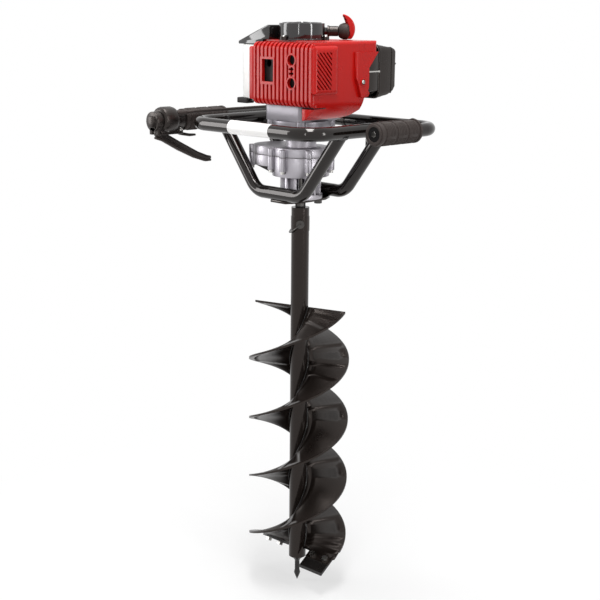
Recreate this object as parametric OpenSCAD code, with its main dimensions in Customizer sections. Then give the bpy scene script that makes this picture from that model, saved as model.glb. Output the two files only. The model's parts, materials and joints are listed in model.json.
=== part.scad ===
// Hand-held petrol earth auger with a two-flight bit.
// Millimetres. The origin is the tip of the pilot point, on the drive axis.
// +Z is up along the drive axis, +X points to the cylinder head, -Y to the muffler.

/* [Bit] */
// outside diameter of the flights
bit_d = 200; // [120:1:300]
// outside diameter of the centre pole
pole_d = 35; // [30:0.5:45]
// rise of one flight in a full turn
bit_pitch = 250; // [180:1:320]
// height of the lower end of the flights
flight_z0 = 80; // [70:1:100]
// turn of each flight from top to bottom, in degrees
flight_turn = 735; // [540:15:780]
// plate thickness of the flights
flight_t = 4; // [3:0.5:6]
// height of the lower end of the pole
pole_z0 = 56; // [40:1:80]
// height of the upper end of the pole
pole_z1 = 788; // [770:1:796]
// length of a cutting blade along the cut
blade_l = 42; // [30:1:60]
// thickness of a cutting blade
blade_t = 5; // [4:0.5:8]

/* [Frame] */
// diameter of every frame tube
tube_d = 25; // [22:0.5:28]
// wall thickness of the frame tubes
tube_w = 2; // [1.5:0.25:3]
// height of the loop and the handlebar
loop_z = 947; // [930:1:965]
// half width of the loop
loop_x = 161; // [150:1:180]
// half depth of the loop
loop_y = 138; // [120:1:160]
// corner radius of the loop, at the tube's centre line
loop_r = 45; // [40:1:60]
// distance of each handle arm from the drive axis
arm_x = 220; // [205:1:250]
// front end of the right arm
right_end = -38; // [-80:1:0]
// front end of the left arm
left_end = -186; // [-220:1:-170]
// height of the lower support tubes
low_z = 819; // [812:1:835]
// distance of each support from the drive axis
low_y = 57; // [50:1:70]
// half length of the straight lower tube, with its bends
low_x = 62; // [55:1:75]
// outside diameter of the grips
grip_d = 42; // [36:1:46]
// length of the grips
grip_l = 108; // [90:1:120]
// thickness of the base plate
plate_t = 5; // [4:0.5:8]
// half width of the base plate
plate_x = 33; // [32:1:50]

/* [Gearbox] */
// clearance between the output gear and its case
main_gap = 3.5; // [2:0.5:8]
// clearance between the intermediate gear and its case
lobe_gap = 1.8; // [1.5:0.1:5]
// wall thickness of the case
case_w = 4.5; // [4:0.5:5]
// height of the bottom of the main case
case_z0 = 850; // [846:1:852]
// height of the joint between the two halves
case_zs = 888; // [886:1:890]
// height of the top of the gearbox
case_z1 = 905; // [904:0.5:907]
// diameter of the output shaft
shaft_d = 20; // [16:0.5:22]
// radial clearance of running fits
run_fit = 0.05; // [0.02:0.01:0.1]

/* [Engine] */
// lower edge of the shroud
shroud_z0 = 961; // [960:1:968]
// top of the shroud
shroud_z1 = 1104; // [1098:1:1110]
// left side of the shroud
shroud_x0 = -62; // [-62:1:-50]
// right wall of the shroud
shroud_x1 = 102; // [102:1:112]
// rise of the vent box above the right wall
vent_rise = 6.5; // [4:0.5:8]
// front face of the ribbed muffler cover
cover_y = -76; // [-85:1:-74]
// number of ribs on the muffler cover
rib_n = 15; // [9:1:17]
// height of the ribs on the muffler cover
rib_h = 4; // [2:0.5:5]
// radius of the muffler cover's outer edges
cover_r = 13; // [10:1:18]
// wall thickness of the plastic covers
skin = 3; // [2:0.5:4]
// height of the cylinder axis
cyl_z = 1035; // [1033:0.5:1037]
// bore of the cylinder
bore = 40; // [34:1:42]
// radius of the recoil starter's housing
starter_r = 43; // [42:0.5:48]
// top of the recoil starter
starter_z1 = 1135; // [1132:1:1142]
// width of the fuel tank across the drive axis
tank_w = 104; // [80:1:116]
// left side of the fuel tank
tank_x0 = -126; // [-140:1:-115]

/* [Hidden] */
tube_r = tube_d / 2;
pole_r = pole_d / 2;
bit_r = bit_d / 2;
shaft_r = shaft_d / 2;
plate_z1 = low_z - tube_r;
plate_z0 = plate_z1 - plate_t;
mod = 1.5;
pin1_n = 10;
gear1_n = 62;
pin2_n = 11;
gear2_n = 61;
gear_a = mod * (pin1_n + gear1_n) / 2;
main_i = mod * (gear2_n / 2 + 0.8) + main_gap;
lobe_i = mod * (gear1_n / 2 + 0.8) + lobe_gap;
main_r = main_i + case_w;
lobe_r = lobe_i + case_w;
boss_at = concat(
    [for (a = [-118, -80, -31, 31, 80, 118]) (main_r + 4.6) * [cos(a), sin(a)]],
    [for (a = [149, 211]) [-gear_a, 0] + (lobe_r + 4.6) * [cos(a), sin(a)]]);
lever_y = left_end + 12;
hitch_z = pole_z1 - 31;
neck_z1 = case_z1 + 20;
flange_z0 = neck_z1 + 19;
fan_z0 = flange_z0 + 12;
fan_z1 = fan_z0 + 29;
back_y = loop_y;
flight_top = flight_z0 + bit_pitch * flight_turn / 360;
rope_z = starter_z1 - 15;
tank_y1 = 62;
tank_y0 = tank_y1 - tank_w;
hose_y = tank_y1 - 10;

red = [0.80, 0.09, 0.07];
black = [0.06, 0.06, 0.065];
alu = [0.72, 0.73, 0.75];
steel = [0.55, 0.56, 0.58];
dark = [0.13, 0.13, 0.14];
white = [0.93, 0.93, 0.92];

$fn = 64;

// General shapes

// a rod between two points
module rod(p, q, r) {
    d = q - p;
    len = norm(d);
    translate(p)
        rotate([0, acos(d[2] / len), atan2(d[1], d[0])])
            cylinder(h = len, r = r);
}

// a rod that follows a line of points, with round joints
module run(pts, r) {
    for (i = [0 : len(pts) - 2]) {
        rod(pts[i], pts[i + 1], r);
    }
    for (i = [1 : len(pts) - 2]) {
        translate(pts[i]) sphere(r = r + 0.15);
    }
}

// a tube bend in the XY plane: centre, bend radius, start angle, turn
module bend(c, br, a0, turn, r) {
    translate(c)
        rotate([0, 0, a0])
            rotate_extrude(angle = turn)
                translate([br, 0]) circle(r = r);
}

// a box between two corners
module box(a, b) {
    translate(a) cube(b - a);
}

// a box with upright edges rounded
module rbox(a, b, r) {
    translate([a[0], a[1], a[2]])
        linear_extrude(b[2] - a[2])
            rsq(b[0] - a[0], b[1] - a[1], r);
}

// a rectangle with rounded corners, from the origin
module rsq(w, d, r) {
    translate([r, 0]) square([w - 2 * r, d]);
    translate([0, r]) square([w, d - 2 * r]);
    for (x = [r, w - r], y = [r, d - r]) {
        translate([x, y]) circle(r = r);
    }
}

// Frame

// half of the way round a trapezoid support, in a plane of its own
module support_half(r) {
    leg = [loop_x - low_x, loop_z - low_z];
    a = atan2(leg[1], leg[0]);
    br = 40;
    t = br * tan(a / 2);
    s = [low_x - t, 0];
    e = [low_x + t * cos(a), t * sin(a)];
    rod([-1, 0, 0], [s[0] + 0.3, 0, 0], r);
    translate([s[0], 0, br])
        rotate([90, 0, 0])
            rotate([0, 0, -90])
                rotate_extrude(angle = a)
                    translate([br, 0]) circle(r = r + 0.05);
    rod([e[0] - 0.3 * cos(a), 0, e[1] - 0.3 * sin(a)], [loop_x, 0, loop_z - low_z], r);
}

module support_path(r) {
    support_half(r);
    mirror([1, 0, 0]) support_half(r);
}

// corner plate between a leg and the loop
module leg_web() {
    x = low_x + 0.55 * (loop_x - low_x);
    z = 0.55 * (loop_z - low_z);
    translate([0, 2.5, 0])
        rotate([90, 0, 0])
            linear_extrude(5)
                polygon([[x, z], [loop_x - 3, loop_z - low_z - 4], [x, loop_z - low_z - 4]]);
}

module support(y, web) {
    difference() {
        translate([0, y, low_z]) {
            support_path(tube_r);
            if (web) {
                leg_web();
                mirror([1, 0, 0]) leg_web();
            }
        }
        translate([0, y, low_z]) support_path(tube_r - tube_w);
        for (x = [-loop_x, loop_x]) {
            translate([x, y, loop_z])
                rotate([90, 0, 0])
                    cylinder(h = 120, r = tube_r + 0.1, center = true);
            box([x - 30, y - 20, loop_z], [x + 30, y + 20, loop_z + 30]);
        }
    }
}

module front_support() {
    color(black) support(-low_y, false);
}

module rear_support() {
    color(black) support(low_y, true);
}

module loop_path(r) {
    rod([-loop_x + loop_r, -loop_y, 0], [loop_x - loop_r, -loop_y, 0], r);
    bend([loop_x - loop_r, -loop_y + loop_r, 0], loop_r, -90, 90, r);
    bend([-loop_x + loop_r, -loop_y + loop_r, 0], loop_r, 180, 90, r);
    for (x = [-loop_x, loop_x]) {
        rod([x, -loop_y + loop_r, 0], [x, back_y, 0], r);
    }
}

module frame_loop() {
    color(black)
        difference() {
            translate([0, 0, loop_z]) loop_path(tube_r);
            translate([0, 0, loop_z]) loop_path(tube_r - tube_w);
            translate([0, back_y, loop_z])
                rotate([0, 90, 0])
                    cylinder(h = 500, r = tube_r + 0.1, center = true);
            box([-250, back_y, loop_z - 30], [250, back_y + 30, loop_z + 30]);
        }
}

// the handlebar's line; its ends are moved out by e
module bar_path(r, e) {
    br = 40;
    rod([-arm_x + br, back_y, 0], [arm_x - br, back_y, 0], r);
    bend([arm_x - br, back_y - br, 0], br, 0, 90, r);
    bend([-arm_x + br, back_y - br, 0], br, 90, 90, r);
    rod([arm_x, right_end + 4 - e, 0], [arm_x, back_y - br, 0], r);
    rod([-arm_x, left_end + 4 - e, 0], [-arm_x, back_y - br, 0], r);
}

module handlebar() {
    color(black)
        translate([0, 0, loop_z])
            difference() {
                bar_path(tube_r, 0);
                bar_path(tube_r - tube_w, 1);
            }
}

// grip sleeve along +Y from its front end, with a flange at each end
module grip_body(l, closed) {
    r = grip_d / 2;
    rotate([-90, 0, 0])
        difference() {
            union() {
                cylinder(h = l, r = r - 1.5);
                cylinder(h = 8, r = r);
                translate([0, 0, l - 5]) cylinder(h = 5, r = r + 1);
                for (i = [0 : 2]) {
                    translate([0, 0, 12 + i * 30]) cylinder(h = 24, r = r);
                }
            }
            translate([0, 0, closed ? 4 : -1]) cylinder(h = l + 10, r = tube_r + 0.1);
            translate([0, 0, -1]) cylinder(h = 6, r = 3);
        }
}

module right_grip() {
    color(dark)
        translate([arm_x, right_end, loop_z])
            grip_body(grip_l, true);
}

module left_grip() {
    color(dark)
        translate([-arm_x, left_end + 72, loop_z])
            grip_body(grip_l, false);
}

module throttle_housing() {
    color(black)
        difference() {
            union() {
                translate([-arm_x, left_end, loop_z])
                    rotate([-90, 0, 0])
                        cylinder(h = 70, r = 19);
                translate([-arm_x, left_end - 6, loop_z])
                    rotate([-90, 0, 0])
                        cylinder(h = 6.5, r = 12, $fn = 6);
                box([-arm_x - 14, left_end + 4, loop_z - 26], [-arm_x + 14, left_end + 66, loop_z - 8]);
            }
            translate([-arm_x, left_end + 4, loop_z])
                rotate([-90, 0, 0])
                    cylinder(h = 80, r = tube_r + 0.1);
            box([-arm_x - 5, left_end - 1, loop_z - 40], [-arm_x + 5, left_end + 71, loop_z - 13]);
            translate([-arm_x - 20, lever_y, loop_z - 19.5])
                rotate([0, 90, 0]) cylinder(h = 40, r = 2.5 + run_fit);
            translate([-arm_x - 20, lever_y + 40, loop_z - 19.5])
                rotate([0, 90, 0]) cylinder(h = 40, r = 2 + run_fit);
            box([-arm_x + 14.5, left_end + 24, loop_z - 4], [-arm_x + 30, left_end + 40, loop_z + 4]);
        }
}

// side view of a lever, swept sideways: points are Y and Z from the pivot
module lever_blank(pts, w) {
    rotate([90, 0, 90])
        translate([0, 0, -w / 2])
            linear_extrude(w)
                polygon(pts);
}

module throttle_lever() {
    color(black)
        translate([-arm_x, lever_y, loop_z - 19.5]) {
            lever_blank([[-5, 4], [5, 4], [22, -6], [60, -26], [100, -46], [124, -55], [134, -57],
                [134, -63], [120, -63], [92, -54], [52, -36], [14, -16], [-4, -10], [-7, -3]], 9);
            rotate([0, 90, 0]) cylinder(h = 30, r = 2.5, center = true);
        }
}

module lock_lever() {
    color(black)
        translate([-arm_x, lever_y + 40, loop_z - 19.5]) {
            lever_blank([[-4, 3], [4, 3], [20, -5], [40, -9], [54, -10], [54, -14], [38, -14.5],
                [18, -11], [2, -5], [-4, -4]], 9);
            rotate([0, 90, 0]) cylinder(h = 30, r = 2, center = true);
        }
}

module stop_switch() {
    color(red)
        box([-arm_x + 14.7, left_end + 26, loop_z - 3.8], [-arm_x + 23, left_end + 34, loop_z + 3.8]);
}

module base_plate() {
    color(black)
        difference() {
            translate([0, 0, plate_z0])
                linear_extrude(plate_t)
                    polygon([[-20, -low_y - 4], [20, -low_y - 4], [plate_x, -36], [plate_x, 36],
                        [20, low_y + 4], [-20, low_y + 4], [-plate_x, 36], [-plate_x, -36]]);
            translate([0, 0, plate_z0 - 1]) cylinder(h = plate_t + 2, r = shaft_r + 5);
            for (a = [45 : 90 : 315]) {
                rotate([0, 0, a])
                    translate([34, 0, plate_z0 - 1]) cylinder(h = plate_t + 2, r = 4.3);
            }
        }
}

module base_bolts() {
    color(steel)
        for (a = [45 : 90 : 315]) {
            rotate([0, 0, a])
                translate([34, 0, plate_z0 - 6]) {
                    cylinder(h = 6, r = 7.5, $fn = 6);
                    cylinder(h = 6 + plate_t + case_z0 - plate_z1 + 3, r = 4);
                }
        }
}

// Gearbox

function inv(a) = tan(a) * 180 / PI - a;

// half angle of a tooth at radius r
function half(z, r) =
    let (rb = mod * z / 2 * cos(25), c = r <= rb ? 0 : acos(rb / r))
    90 / z - 0.075 / (mod * z / 2) * 180 / PI + inv(25) - inv(c);

// stub-tooth spur gear outline with a tooth centred at angle a0
module gear2d(z, a0) {
    rp = mod * z / 2;
    rr = rp - 1.05 * mod;
    rb = max(rr, rp * cos(25));
    ra = rp + 0.8 * mod;
    polygon([for (i = [0 : z - 1]) let (c = a0 + 360 * i / z)
        for (k = [[rr, -1], [rb, -1], [rp, -1], [ra, -1], [ra, 1], [rp, 1], [rb, 1], [rr, 1]])
            k[0] * [cos(c + k[1] * half(z, k[0])), sin(c + k[1] * half(z, k[0]))]]);
}

module peanut(rm, rl) {
    circle(r = rm);
    translate([-gear_a, 0]) circle(r = rl);
}

// ribbed foot between the base plate and the case; it carries the two output bearings
module gearbox_foot() {
    h = case_z0 - plate_z1;
    color(alu)
        difference() {
            translate([0, 0, plate_z1]) {
                cylinder(h = h, r = 29);
                cylinder(h = 9, r = 42);
                for (a = [0 : 30 : 330]) {
                    rotate([0, 0, a]) box([25, -2.5, 0], [40, 2.5, h]);
                }
            }
            translate([0, 0, plate_z1 - 1]) cylinder(h = 80, r = shaft_r + 3);
            translate([0, 0, plate_z1 - 1]) cylinder(h = 13, r = 21);
            translate([0, 0, case_z0 - 9]) cylinder(h = 30, r = 21);
            for (a = [45 : 90 : 315]) {
                rotate([0, 0, a])
                    translate([34, 0, plate_z1 - 1]) cylinder(h = 80, r = 4 + run_fit);
            }
        }
}

module gearbox_lower() {
    color(alu)
        difference() {
            union() {
                translate([0, 0, case_z0]) cylinder(h = case_zs - case_z0, r = main_r);
                translate([-gear_a, 0, case_z0 + 17]) cylinder(h = case_zs - case_z0 - 17, r = lobe_r);
                translate([-gear_a, 0, case_z0]) cylinder(h = 19, r = 19);
                for (p = boss_at) {
                    translate([p[0], p[1], case_z0 + 12]) cylinder(h = case_zs - case_z0 - 12, r = 6.5);
                }
            }
            translate([0, 0, case_z0 + 4]) cylinder(h = 60, r = main_i);
            translate([-gear_a, 0, case_z0 + 22]) cylinder(h = 60, r = lobe_i);
            translate([-gear_a, 0, case_z0 + 5]) cylinder(h = 60, r = 13);
            translate([-gear_a, 0, case_z0 + 1]) cylinder(h = 60, r = 6 + run_fit);
            translate([0, 0, case_z0 - 1]) cylinder(h = 30, r = 21);
            for (p = boss_at) {
                translate([p[0], p[1], case_z0]) cylinder(h = 60, r = 3.1);
            }
            for (a = [45 : 90 : 315]) {
                rotate([0, 0, a])
                    translate([34, 0, case_z0 - 1]) cylinder(h = 4.5, r = 4 + run_fit);
            }
        }
}

module gearbox_upper() {
    color(alu)
        difference() {
            union() {
                translate([0, 0, case_zs]) linear_extrude(case_z1 - case_zs) peanut(main_r, lobe_r);
                for (p = boss_at) {
                    translate([p[0], p[1], case_zs]) cylinder(h = case_z1 - case_zs - 2, r = 6.5);
                }
                translate([0, 0, case_z1 - 1]) cylinder(h = neck_z1 - case_z1 + 1, r = 29.5);
            }
            translate([0, 0, case_zs - 1]) linear_extrude(13) peanut(main_i, lobe_i);
            translate([-gear_a, 0, case_zs]) cylinder(h = 14.5, r = 6 + run_fit);
            translate([0, 0, case_zs]) cylinder(h = 60, r = 10.5);
            translate([0, 0, case_z1]) cylinder(h = 60, r = 14.05);
            for (p = boss_at) {
                translate([p[0], p[1], case_zs - 1]) cylinder(h = 13, r = 3 + run_fit);
            }
        }
}

module output_gear() {
    color(steel)
        translate([0, 0, case_z0 + 9])
            difference() {
                union() {
                    linear_extrude(14) gear2d(gear2_n, 180 + 180 / gear2_n);
                    translate([0, 0, -3.5]) cylinder(h = 20, r = 16);
                }
                translate([0, 0, -5]) cylinder(h = 30, r = shaft_r + 0.02);
                for (a = [0 : 60 : 300]) {
                    rotate([0, 0, a]) translate([29, 0, -1]) cylinder(h = 20, r = 8);
                }
            }
}

module output_shaft() {
    color(steel)
        difference() {
            translate([0, 0, pole_z1 - 52]) cylinder(h = case_z0 + 25 - pole_z1 + 52, r = shaft_r);
            translate([0, 0, hitch_z])
                rotate([0, 90, -45]) cylinder(h = 60, r = 5, center = true);
        }
}

module lay_gear() {
    color(steel)
        translate([-gear_a, 0, 0])
            difference() {
                union() {
                    translate([0, 0, case_z0 + 31]) linear_extrude(12) gear2d(gear1_n, 180 / gear1_n);
                    translate([0, 0, case_z0 + 7]) linear_extrude(25) gear2d(pin2_n, 0);
                    translate([0, 0, case_z0 + 2]) cylinder(h = case_z1 - case_z0 - 5.5, r = 6);
                }
                for (a = [0 : 60 : 300]) {
                    rotate([0, 0, a]) translate([29, 0, case_z0 + 20]) cylinder(h = 40, r = 8);
                }
            }
}

module clutch_drum() {
    color(steel) {
        translate([0, 0, case_z0 + 29]) linear_extrude(17) gear2d(pin1_n, 180);
        translate([0, 0, case_z0 + 40]) cylinder(h = neck_z1 + 8 - case_z0 - 40, r = 6);
        translate([0, 0, neck_z1 + 6])
            difference() {
                cylinder(h = 18, r = 39);
                translate([0, 0, 3]) cylinder(h = 30, r = 36);
            }
    }
}

module ring(z, h, ri, ro) {
    translate([0, 0, z])
        difference() {
            cylinder(h = h, r = ro);
            translate([0, 0, -1]) cylinder(h = h + 2, r = ri);
        }
}

module shaft_bearings() {
    color(steel) {
        ring(case_z0 - 9, 11, shaft_r + run_fit, 20.9);
        ring(plate_z1, 11, shaft_r + run_fit, 20.9);
        ring(case_z1, 11, 6 + run_fit, 14);
    }
}

// Engine lower end

module clutch_case() {
    color(alu)
        difference() {
            union() {
                translate([0, 0, neck_z1]) cylinder(h = flange_z0 - neck_z1 + 1, r = 46);
                translate([0, 0, flange_z0]) cylinder(h = fan_z0 - flange_z0, r = 56);
                for (a = [45 : 90 : 315]) {
                    rotate([0, 0, a]) translate([56, 0, flange_z0]) cylinder(h = fan_z0 - flange_z0, r = 9);
                }
            }
            translate([0, 0, neck_z1 + 3]) cylinder(h = 60, r = 41);
            translate([0, 0, neck_z1 - 1]) cylinder(h = 10, r = 14);
            for (a = [45 : 90 : 315]) {
                rotate([0, 0, a]) translate([56, 0, flange_z0 - 1]) cylinder(h = 30, r = 3.3);
            }
        }
}

// M6 bolt with a round head, upright from its head
module case_bolt(l) {
    cylinder(h = 5, r = 4.2);
    cylinder(h = l, r = 3);
}

module case_bolts() {
    color(dark) {
        for (p = boss_at) {
            translate([p[0], p[1], case_z0 + 7]) case_bolt(case_zs - case_z0 + 4);
        }
        for (a = [45 : 90 : 315]) {
            rotate([0, 0, a])
                translate([56, 0, flange_z0 - 5]) case_bolt(28);
        }
    }
}

module fan_case() {
    color(alu)
        difference() {
            rbox([-50, -50, fan_z0], [50, 52, fan_z1], 10);
            translate([0, 0, fan_z0 - 1]) cylinder(h = 4.5, r = 41);
            translate([0, 0, fan_z0 + 3]) cylinder(h = 22.5, r = 45);
            translate([0, 0, fan_z0]) cylinder(h = 60, r = 9);
            box([-17, 40, fan_z0 + 4], [17, 60, fan_z0 + 25]);
            for (a = [45 : 90 : 315]) {
                rotate([0, 0, a]) translate([56, 0, fan_z0 - 1]) cylinder(h = 13, r = 3 + run_fit);
            }
        }
}

module flywheel() {
    color(alu)
        translate([0, 0, fan_z0 + 6])
            difference() {
                union() {
                    cylinder(h = 8, r = 42);
                    cylinder(h = 17, r = 15);
                    for (a = [0 : 30 : 330]) {
                        rotate([0, 0, a]) box([14, -1.2, 7], [40, 1.2, 16]);
                    }
                }
                translate([0, 0, -1]) cylinder(h = 30, r = 8.02);
            }
}

module ignition_coil() {
    color(black)
        difference() {
            box([-17, 43.6, fan_z0 + 5], [17, 58, fan_z0 + 23]);
            translate([0, 0, fan_z0]) cylinder(h = 40, r = 43.5);
        }
}

module clutch_shoes() {
    color(dark)
        difference() {
            ring(neck_z1 + 11, 11, 14.3, 34.5);
            rotate([0, 0, 45]) box([-50, -3, neck_z1], [50, 3, neck_z1 + 30]);
        }
}

module crankshaft() {
    color(steel) {
        translate([0, 0, neck_z1 + 11]) cylinder(h = 14, r = 14);
        translate([0, 0, neck_z1 + 11]) cylinder(h = cyl_z - 15 - neck_z1 - 11, r = 8);
        translate([0, 0, cyl_z - 21]) cylinder(h = 12, r = 23);
        translate([-14, 0, cyl_z - 10]) cylinder(h = 20, r = 7);
        translate([0, 0, cyl_z + 9]) cylinder(h = 12, r = 23);
        translate([0, 0, cyl_z + 20]) cylinder(h = shroud_z1 + 5 - cyl_z - 20, r = 8);
    }
}

module connecting_rod() {
    color(alu)
        difference() {
            union() {
                translate([-14, 0, cyl_z - 7]) cylinder(h = 14, r = 11);
                translate([34, 0, cyl_z - 6]) cylinder(h = 12, r = 7.5);
                box([-8, -4, cyl_z - 4], [32, 4, cyl_z + 4]);
            }
            translate([-14, 0, cyl_z - 30]) cylinder(h = 60, r = 7 + run_fit);
            translate([34, 0, cyl_z - 30]) cylinder(h = 60, r = 4.5 + run_fit);
        }
}

module piston() {
    color(alu) {
        difference() {
            translate([24, 0, cyl_z]) rotate([0, 90, 0]) cylinder(h = 24, r = bore / 2 - 0.04);
            translate([23, 0, cyl_z]) rotate([0, 90, 0]) cylinder(h = 20, r = bore / 2 - 4);
        }
        translate([34, 0, cyl_z - bore / 2 + 3]) cylinder(h = bore - 6, r = 4.5);
    }
}

module crankcase() {
    color(alu)
        difference() {
            union() {
                rbox([-36, -36, fan_z1], [30, 36, shroud_z1 - 10], 8);
                for (a = [100, 180, 260]) {
                    rotate([0, 0, a]) translate([28, 0, shroud_z1 - 11]) cylinder(h = 11 - skin, r = 6);
                }
            }
            translate([0, 0, cyl_z - 23]) cylinder(h = 46, r = 27);
            translate([0, 0, fan_z1 - 1]) cylinder(h = 200, r = 8 + run_fit);
            translate([0, 0, cyl_z]) rotate([0, 90, 0]) cylinder(h = 60, r = bore / 2 + 1);
        }
}

module cylinder_fins() {
    for (x = [34 : 6 : 82]) {
        box([x, -34, cyl_z - 34], [x + 2, 34, cyl_z + 34]);
    }
}

module engine_cylinder() {
    color(alu)
        difference() {
            union() {
                translate([30.3, 0, cyl_z]) rotate([0, 90, 0]) cylinder(h = 54, r = bore / 2 + 6);
                cylinder_fins();
                box([50, -36.5, cyl_z - 14], [78, 0, cyl_z + 14]);
                box([42, 0, cyl_z - 12], [64, 34, cyl_z + 12]);
            }
            translate([30, 0, cyl_z]) rotate([0, 90, 0]) cylinder(h = 44, r = bore / 2);
            translate([70, 0, cyl_z]) rotate([0, 90, 0]) cylinder(h = 30, r = 5);
            translate([64, 0, cyl_z]) rotate([90, 0, 0]) cylinder(h = 60, r = 8);
            translate([53, 0, cyl_z]) rotate([-90, 0, 0]) cylinder(h = 60, r = 8);
        }
}

module spark_plug() {
    color(white)
        translate([72, 0, cyl_z])
            rotate([0, 90, 0]) {
                cylinder(h = 14, r = 4.95);
                translate([0, 0, 12.5]) cylinder(h = 6, r = 8, $fn = 6);
                translate([0, 0, 18]) cylinder(h = 5.5, r = 4);
            }
}

module plug_cap() {
    color(black)
        difference() {
            union() {
                translate([91, 0, cyl_z]) rotate([0, 90, 0]) cylinder(h = 7.5, r = 8);
                translate([94.6, 0, cyl_z]) rod([0, 0, 0], [0, 18, 22], 3.6);
            }
            translate([80, 0, cyl_z]) rotate([0, 90, 0]) cylinder(h = 15.9, r = 4.1);
        }
}

module muffler() {
    color(steel)
        difference() {
            rbox([-46, -66, cyl_z - 34], [84, -36.8, cyl_z + 50], 7);
            rbox([-43, -63, cyl_z - 31], [81, -39.8, cyl_z + 47], 5);
            translate([64, -30, cyl_z]) rotate([90, 0, 0]) cylinder(h = 20, r = 8);
            translate([-20, -60, cyl_z + 27]) rotate([90, 0, 0]) cylinder(h = 20, r = 7);
        }
}

// a box with the edges along X rounded
module rbox3(a, b, r) {
    translate([a[0], a[1], a[2]])
        rotate([90, 0, 90])
            linear_extrude(b[0] - a[0])
                rsq(b[1] - a[1], b[2] - a[2], r);
}

// the cover's outside form, set in by e; its right end and its back are left square
module cover_form(e, x1) {
    lo = [shroud_x0 + e, cover_y + e, shroud_z0 + 25 + e];
    hi = [x1 + 60, 40, shroud_z1 - 3 - e];
    intersection() {
        rbox(lo, hi, cover_r - e);
        rbox2(lo, hi, cover_r - e);
        rbox3(lo, hi, cover_r - e);
        box([shroud_x0 - 1, cover_y - 1, shroud_z0], [x1, -36.8, shroud_z1]);
    }
}

// front cover with upright ribs that wrap round its top, side and bottom
module muffler_cover() {
    x0 = shroud_x0;
    x1 = shroud_x1 + vent_rise - 8.5;
    z0 = shroud_z0 + 25;
    hole_x = 49;
    color(red)
        difference() {
            union() {
                cover_form(rib_h, x1);
                for (i = [0 : rib_n - 1]) {
                    x = x0 + 12 + i * (x1 - x0 - 15) / (rib_n - 1);
                    intersection() {
                        cover_form(0, x1);
                        box([x - 2.7, cover_y - 1, z0 - 1], [x + 2.7, 0, shroud_z1]);
                    }
                }
                for (z = [cyl_z - 6, cyl_z + 35]) {
                    translate([hole_x, cover_y - 0.6, z]) rotate([-90, 0, 0]) cylinder(h = 11, r = 12.2);
                }
                box([-33, cover_y - 0.6, cyl_z - 11], [5, cover_y + 8, cyl_z + 39]);
            }
            intersection() {
                cover_form(rib_h + 2.5, x1 - 2.5);
                box([x0, cover_y, z0], [x1, -30, shroud_z1]);
            }
            box([x0 + rib_h + 2.5, -50, z0 + rib_h + 2.5], [x1 - 2.5, -30, shroud_z1 - 5.5 - rib_h]);
            box([x0 + 16, -62, z0 - 1], [x1 - 12, -30, z0 + 12]);
            for (z = [cyl_z - 6, cyl_z + 35]) {
                translate([hole_x, cover_y - 2, z]) rotate([-90, 0, 0]) cylinder(h = 30, r = 9.5);
            }
            for (z = [cyl_z + 9, cyl_z + 17]) {
                box([hole_x - 6, cover_y - 2, z], [hole_x + 6, cover_y + 20, z + 4]);
            }
            box([-28, cover_y - 2, cyl_z - 6], [2, cover_y + 20, cyl_z + 35]);
        }
}

// the shroud from above, set in by e, with rounded corners on the right
module shroud_plan(r, e) {
    x1 = shroud_x1 - e;
    y0 = cover_y + e;
    translate([shroud_x0, y0]) square([x1 - r - shroud_x0, 100 - y0]);
    translate([shroud_x0, y0 + r]) square([x1 - shroud_x0, 100 - y0 - 2 * r]);
    for (y = [y0 + r, 100 - r]) {
        translate([x1 - r, y]) circle(r = r);
    }
}

// the shroud from the front, set in by e, round at the upper right and at the belly
module shroud_front(rt, rb, e) {
    x1 = shroud_x1 - e;
    z0 = shroud_z0 + e;
    z1 = shroud_z1 - e;
    translate([shroud_x0, z0]) square([x1 - rb - shroud_x0, z1 - z0]);
    translate([shroud_x0, z0 + rb]) square([x1 - shroud_x0, z1 - z0 - rb - rt]);
    translate([shroud_x0, z1 - rt - 1]) square([x1 - rt - shroud_x0, rt + 1]);
    translate([x1 - rb, z0 + rb]) circle(r = rb);
    translate([x1 - rt, z1 - rt]) circle(r = rt);
}

// raised box round the hot-air vents, set in by e
module vent_box(e) {
    lo = [shroud_x1 - 30, cover_y + e, shroud_z0 + 48 + e];
    hi = [shroud_x1 + vent_rise - e, -11 - e, shroud_z1 - 7 - e];
    intersection() {
        rbox(lo, hi, 9 - e);
        rbox2(lo, hi, 9 - e);
        rbox3(lo, hi, 9 - e);
        box([shroud_x1 - skin - 1, cover_y, shroud_z0], [shroud_x1 + 20, 0, shroud_z1]);
    }
}

// the shroud's side outline, Y and Z, pushed along X from x0 to x1 and raised by up
module shroud_side(x0, x1, up) {
    wall = [[cover_y, shroud_z0 + 1], [-18, shroud_z0], [20, shroud_z0 + 2], [38, shroud_z0 + 6],
        [57, shroud_z0 + 17], [64, shroud_z0 + 38], [76, shroud_z0 + 41], [79, shroud_z0 + 47],
        [70, shroud_z0 + 57], [70, shroud_z0 + 94], [97, shroud_z0 + 120], [100, shroud_z1],
        [cover_y, shroud_z1]];
    translate([x0, -up, up])
        rotate([90, 0, 90]) linear_extrude(x1 - x0) polygon(wall);
}

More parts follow.
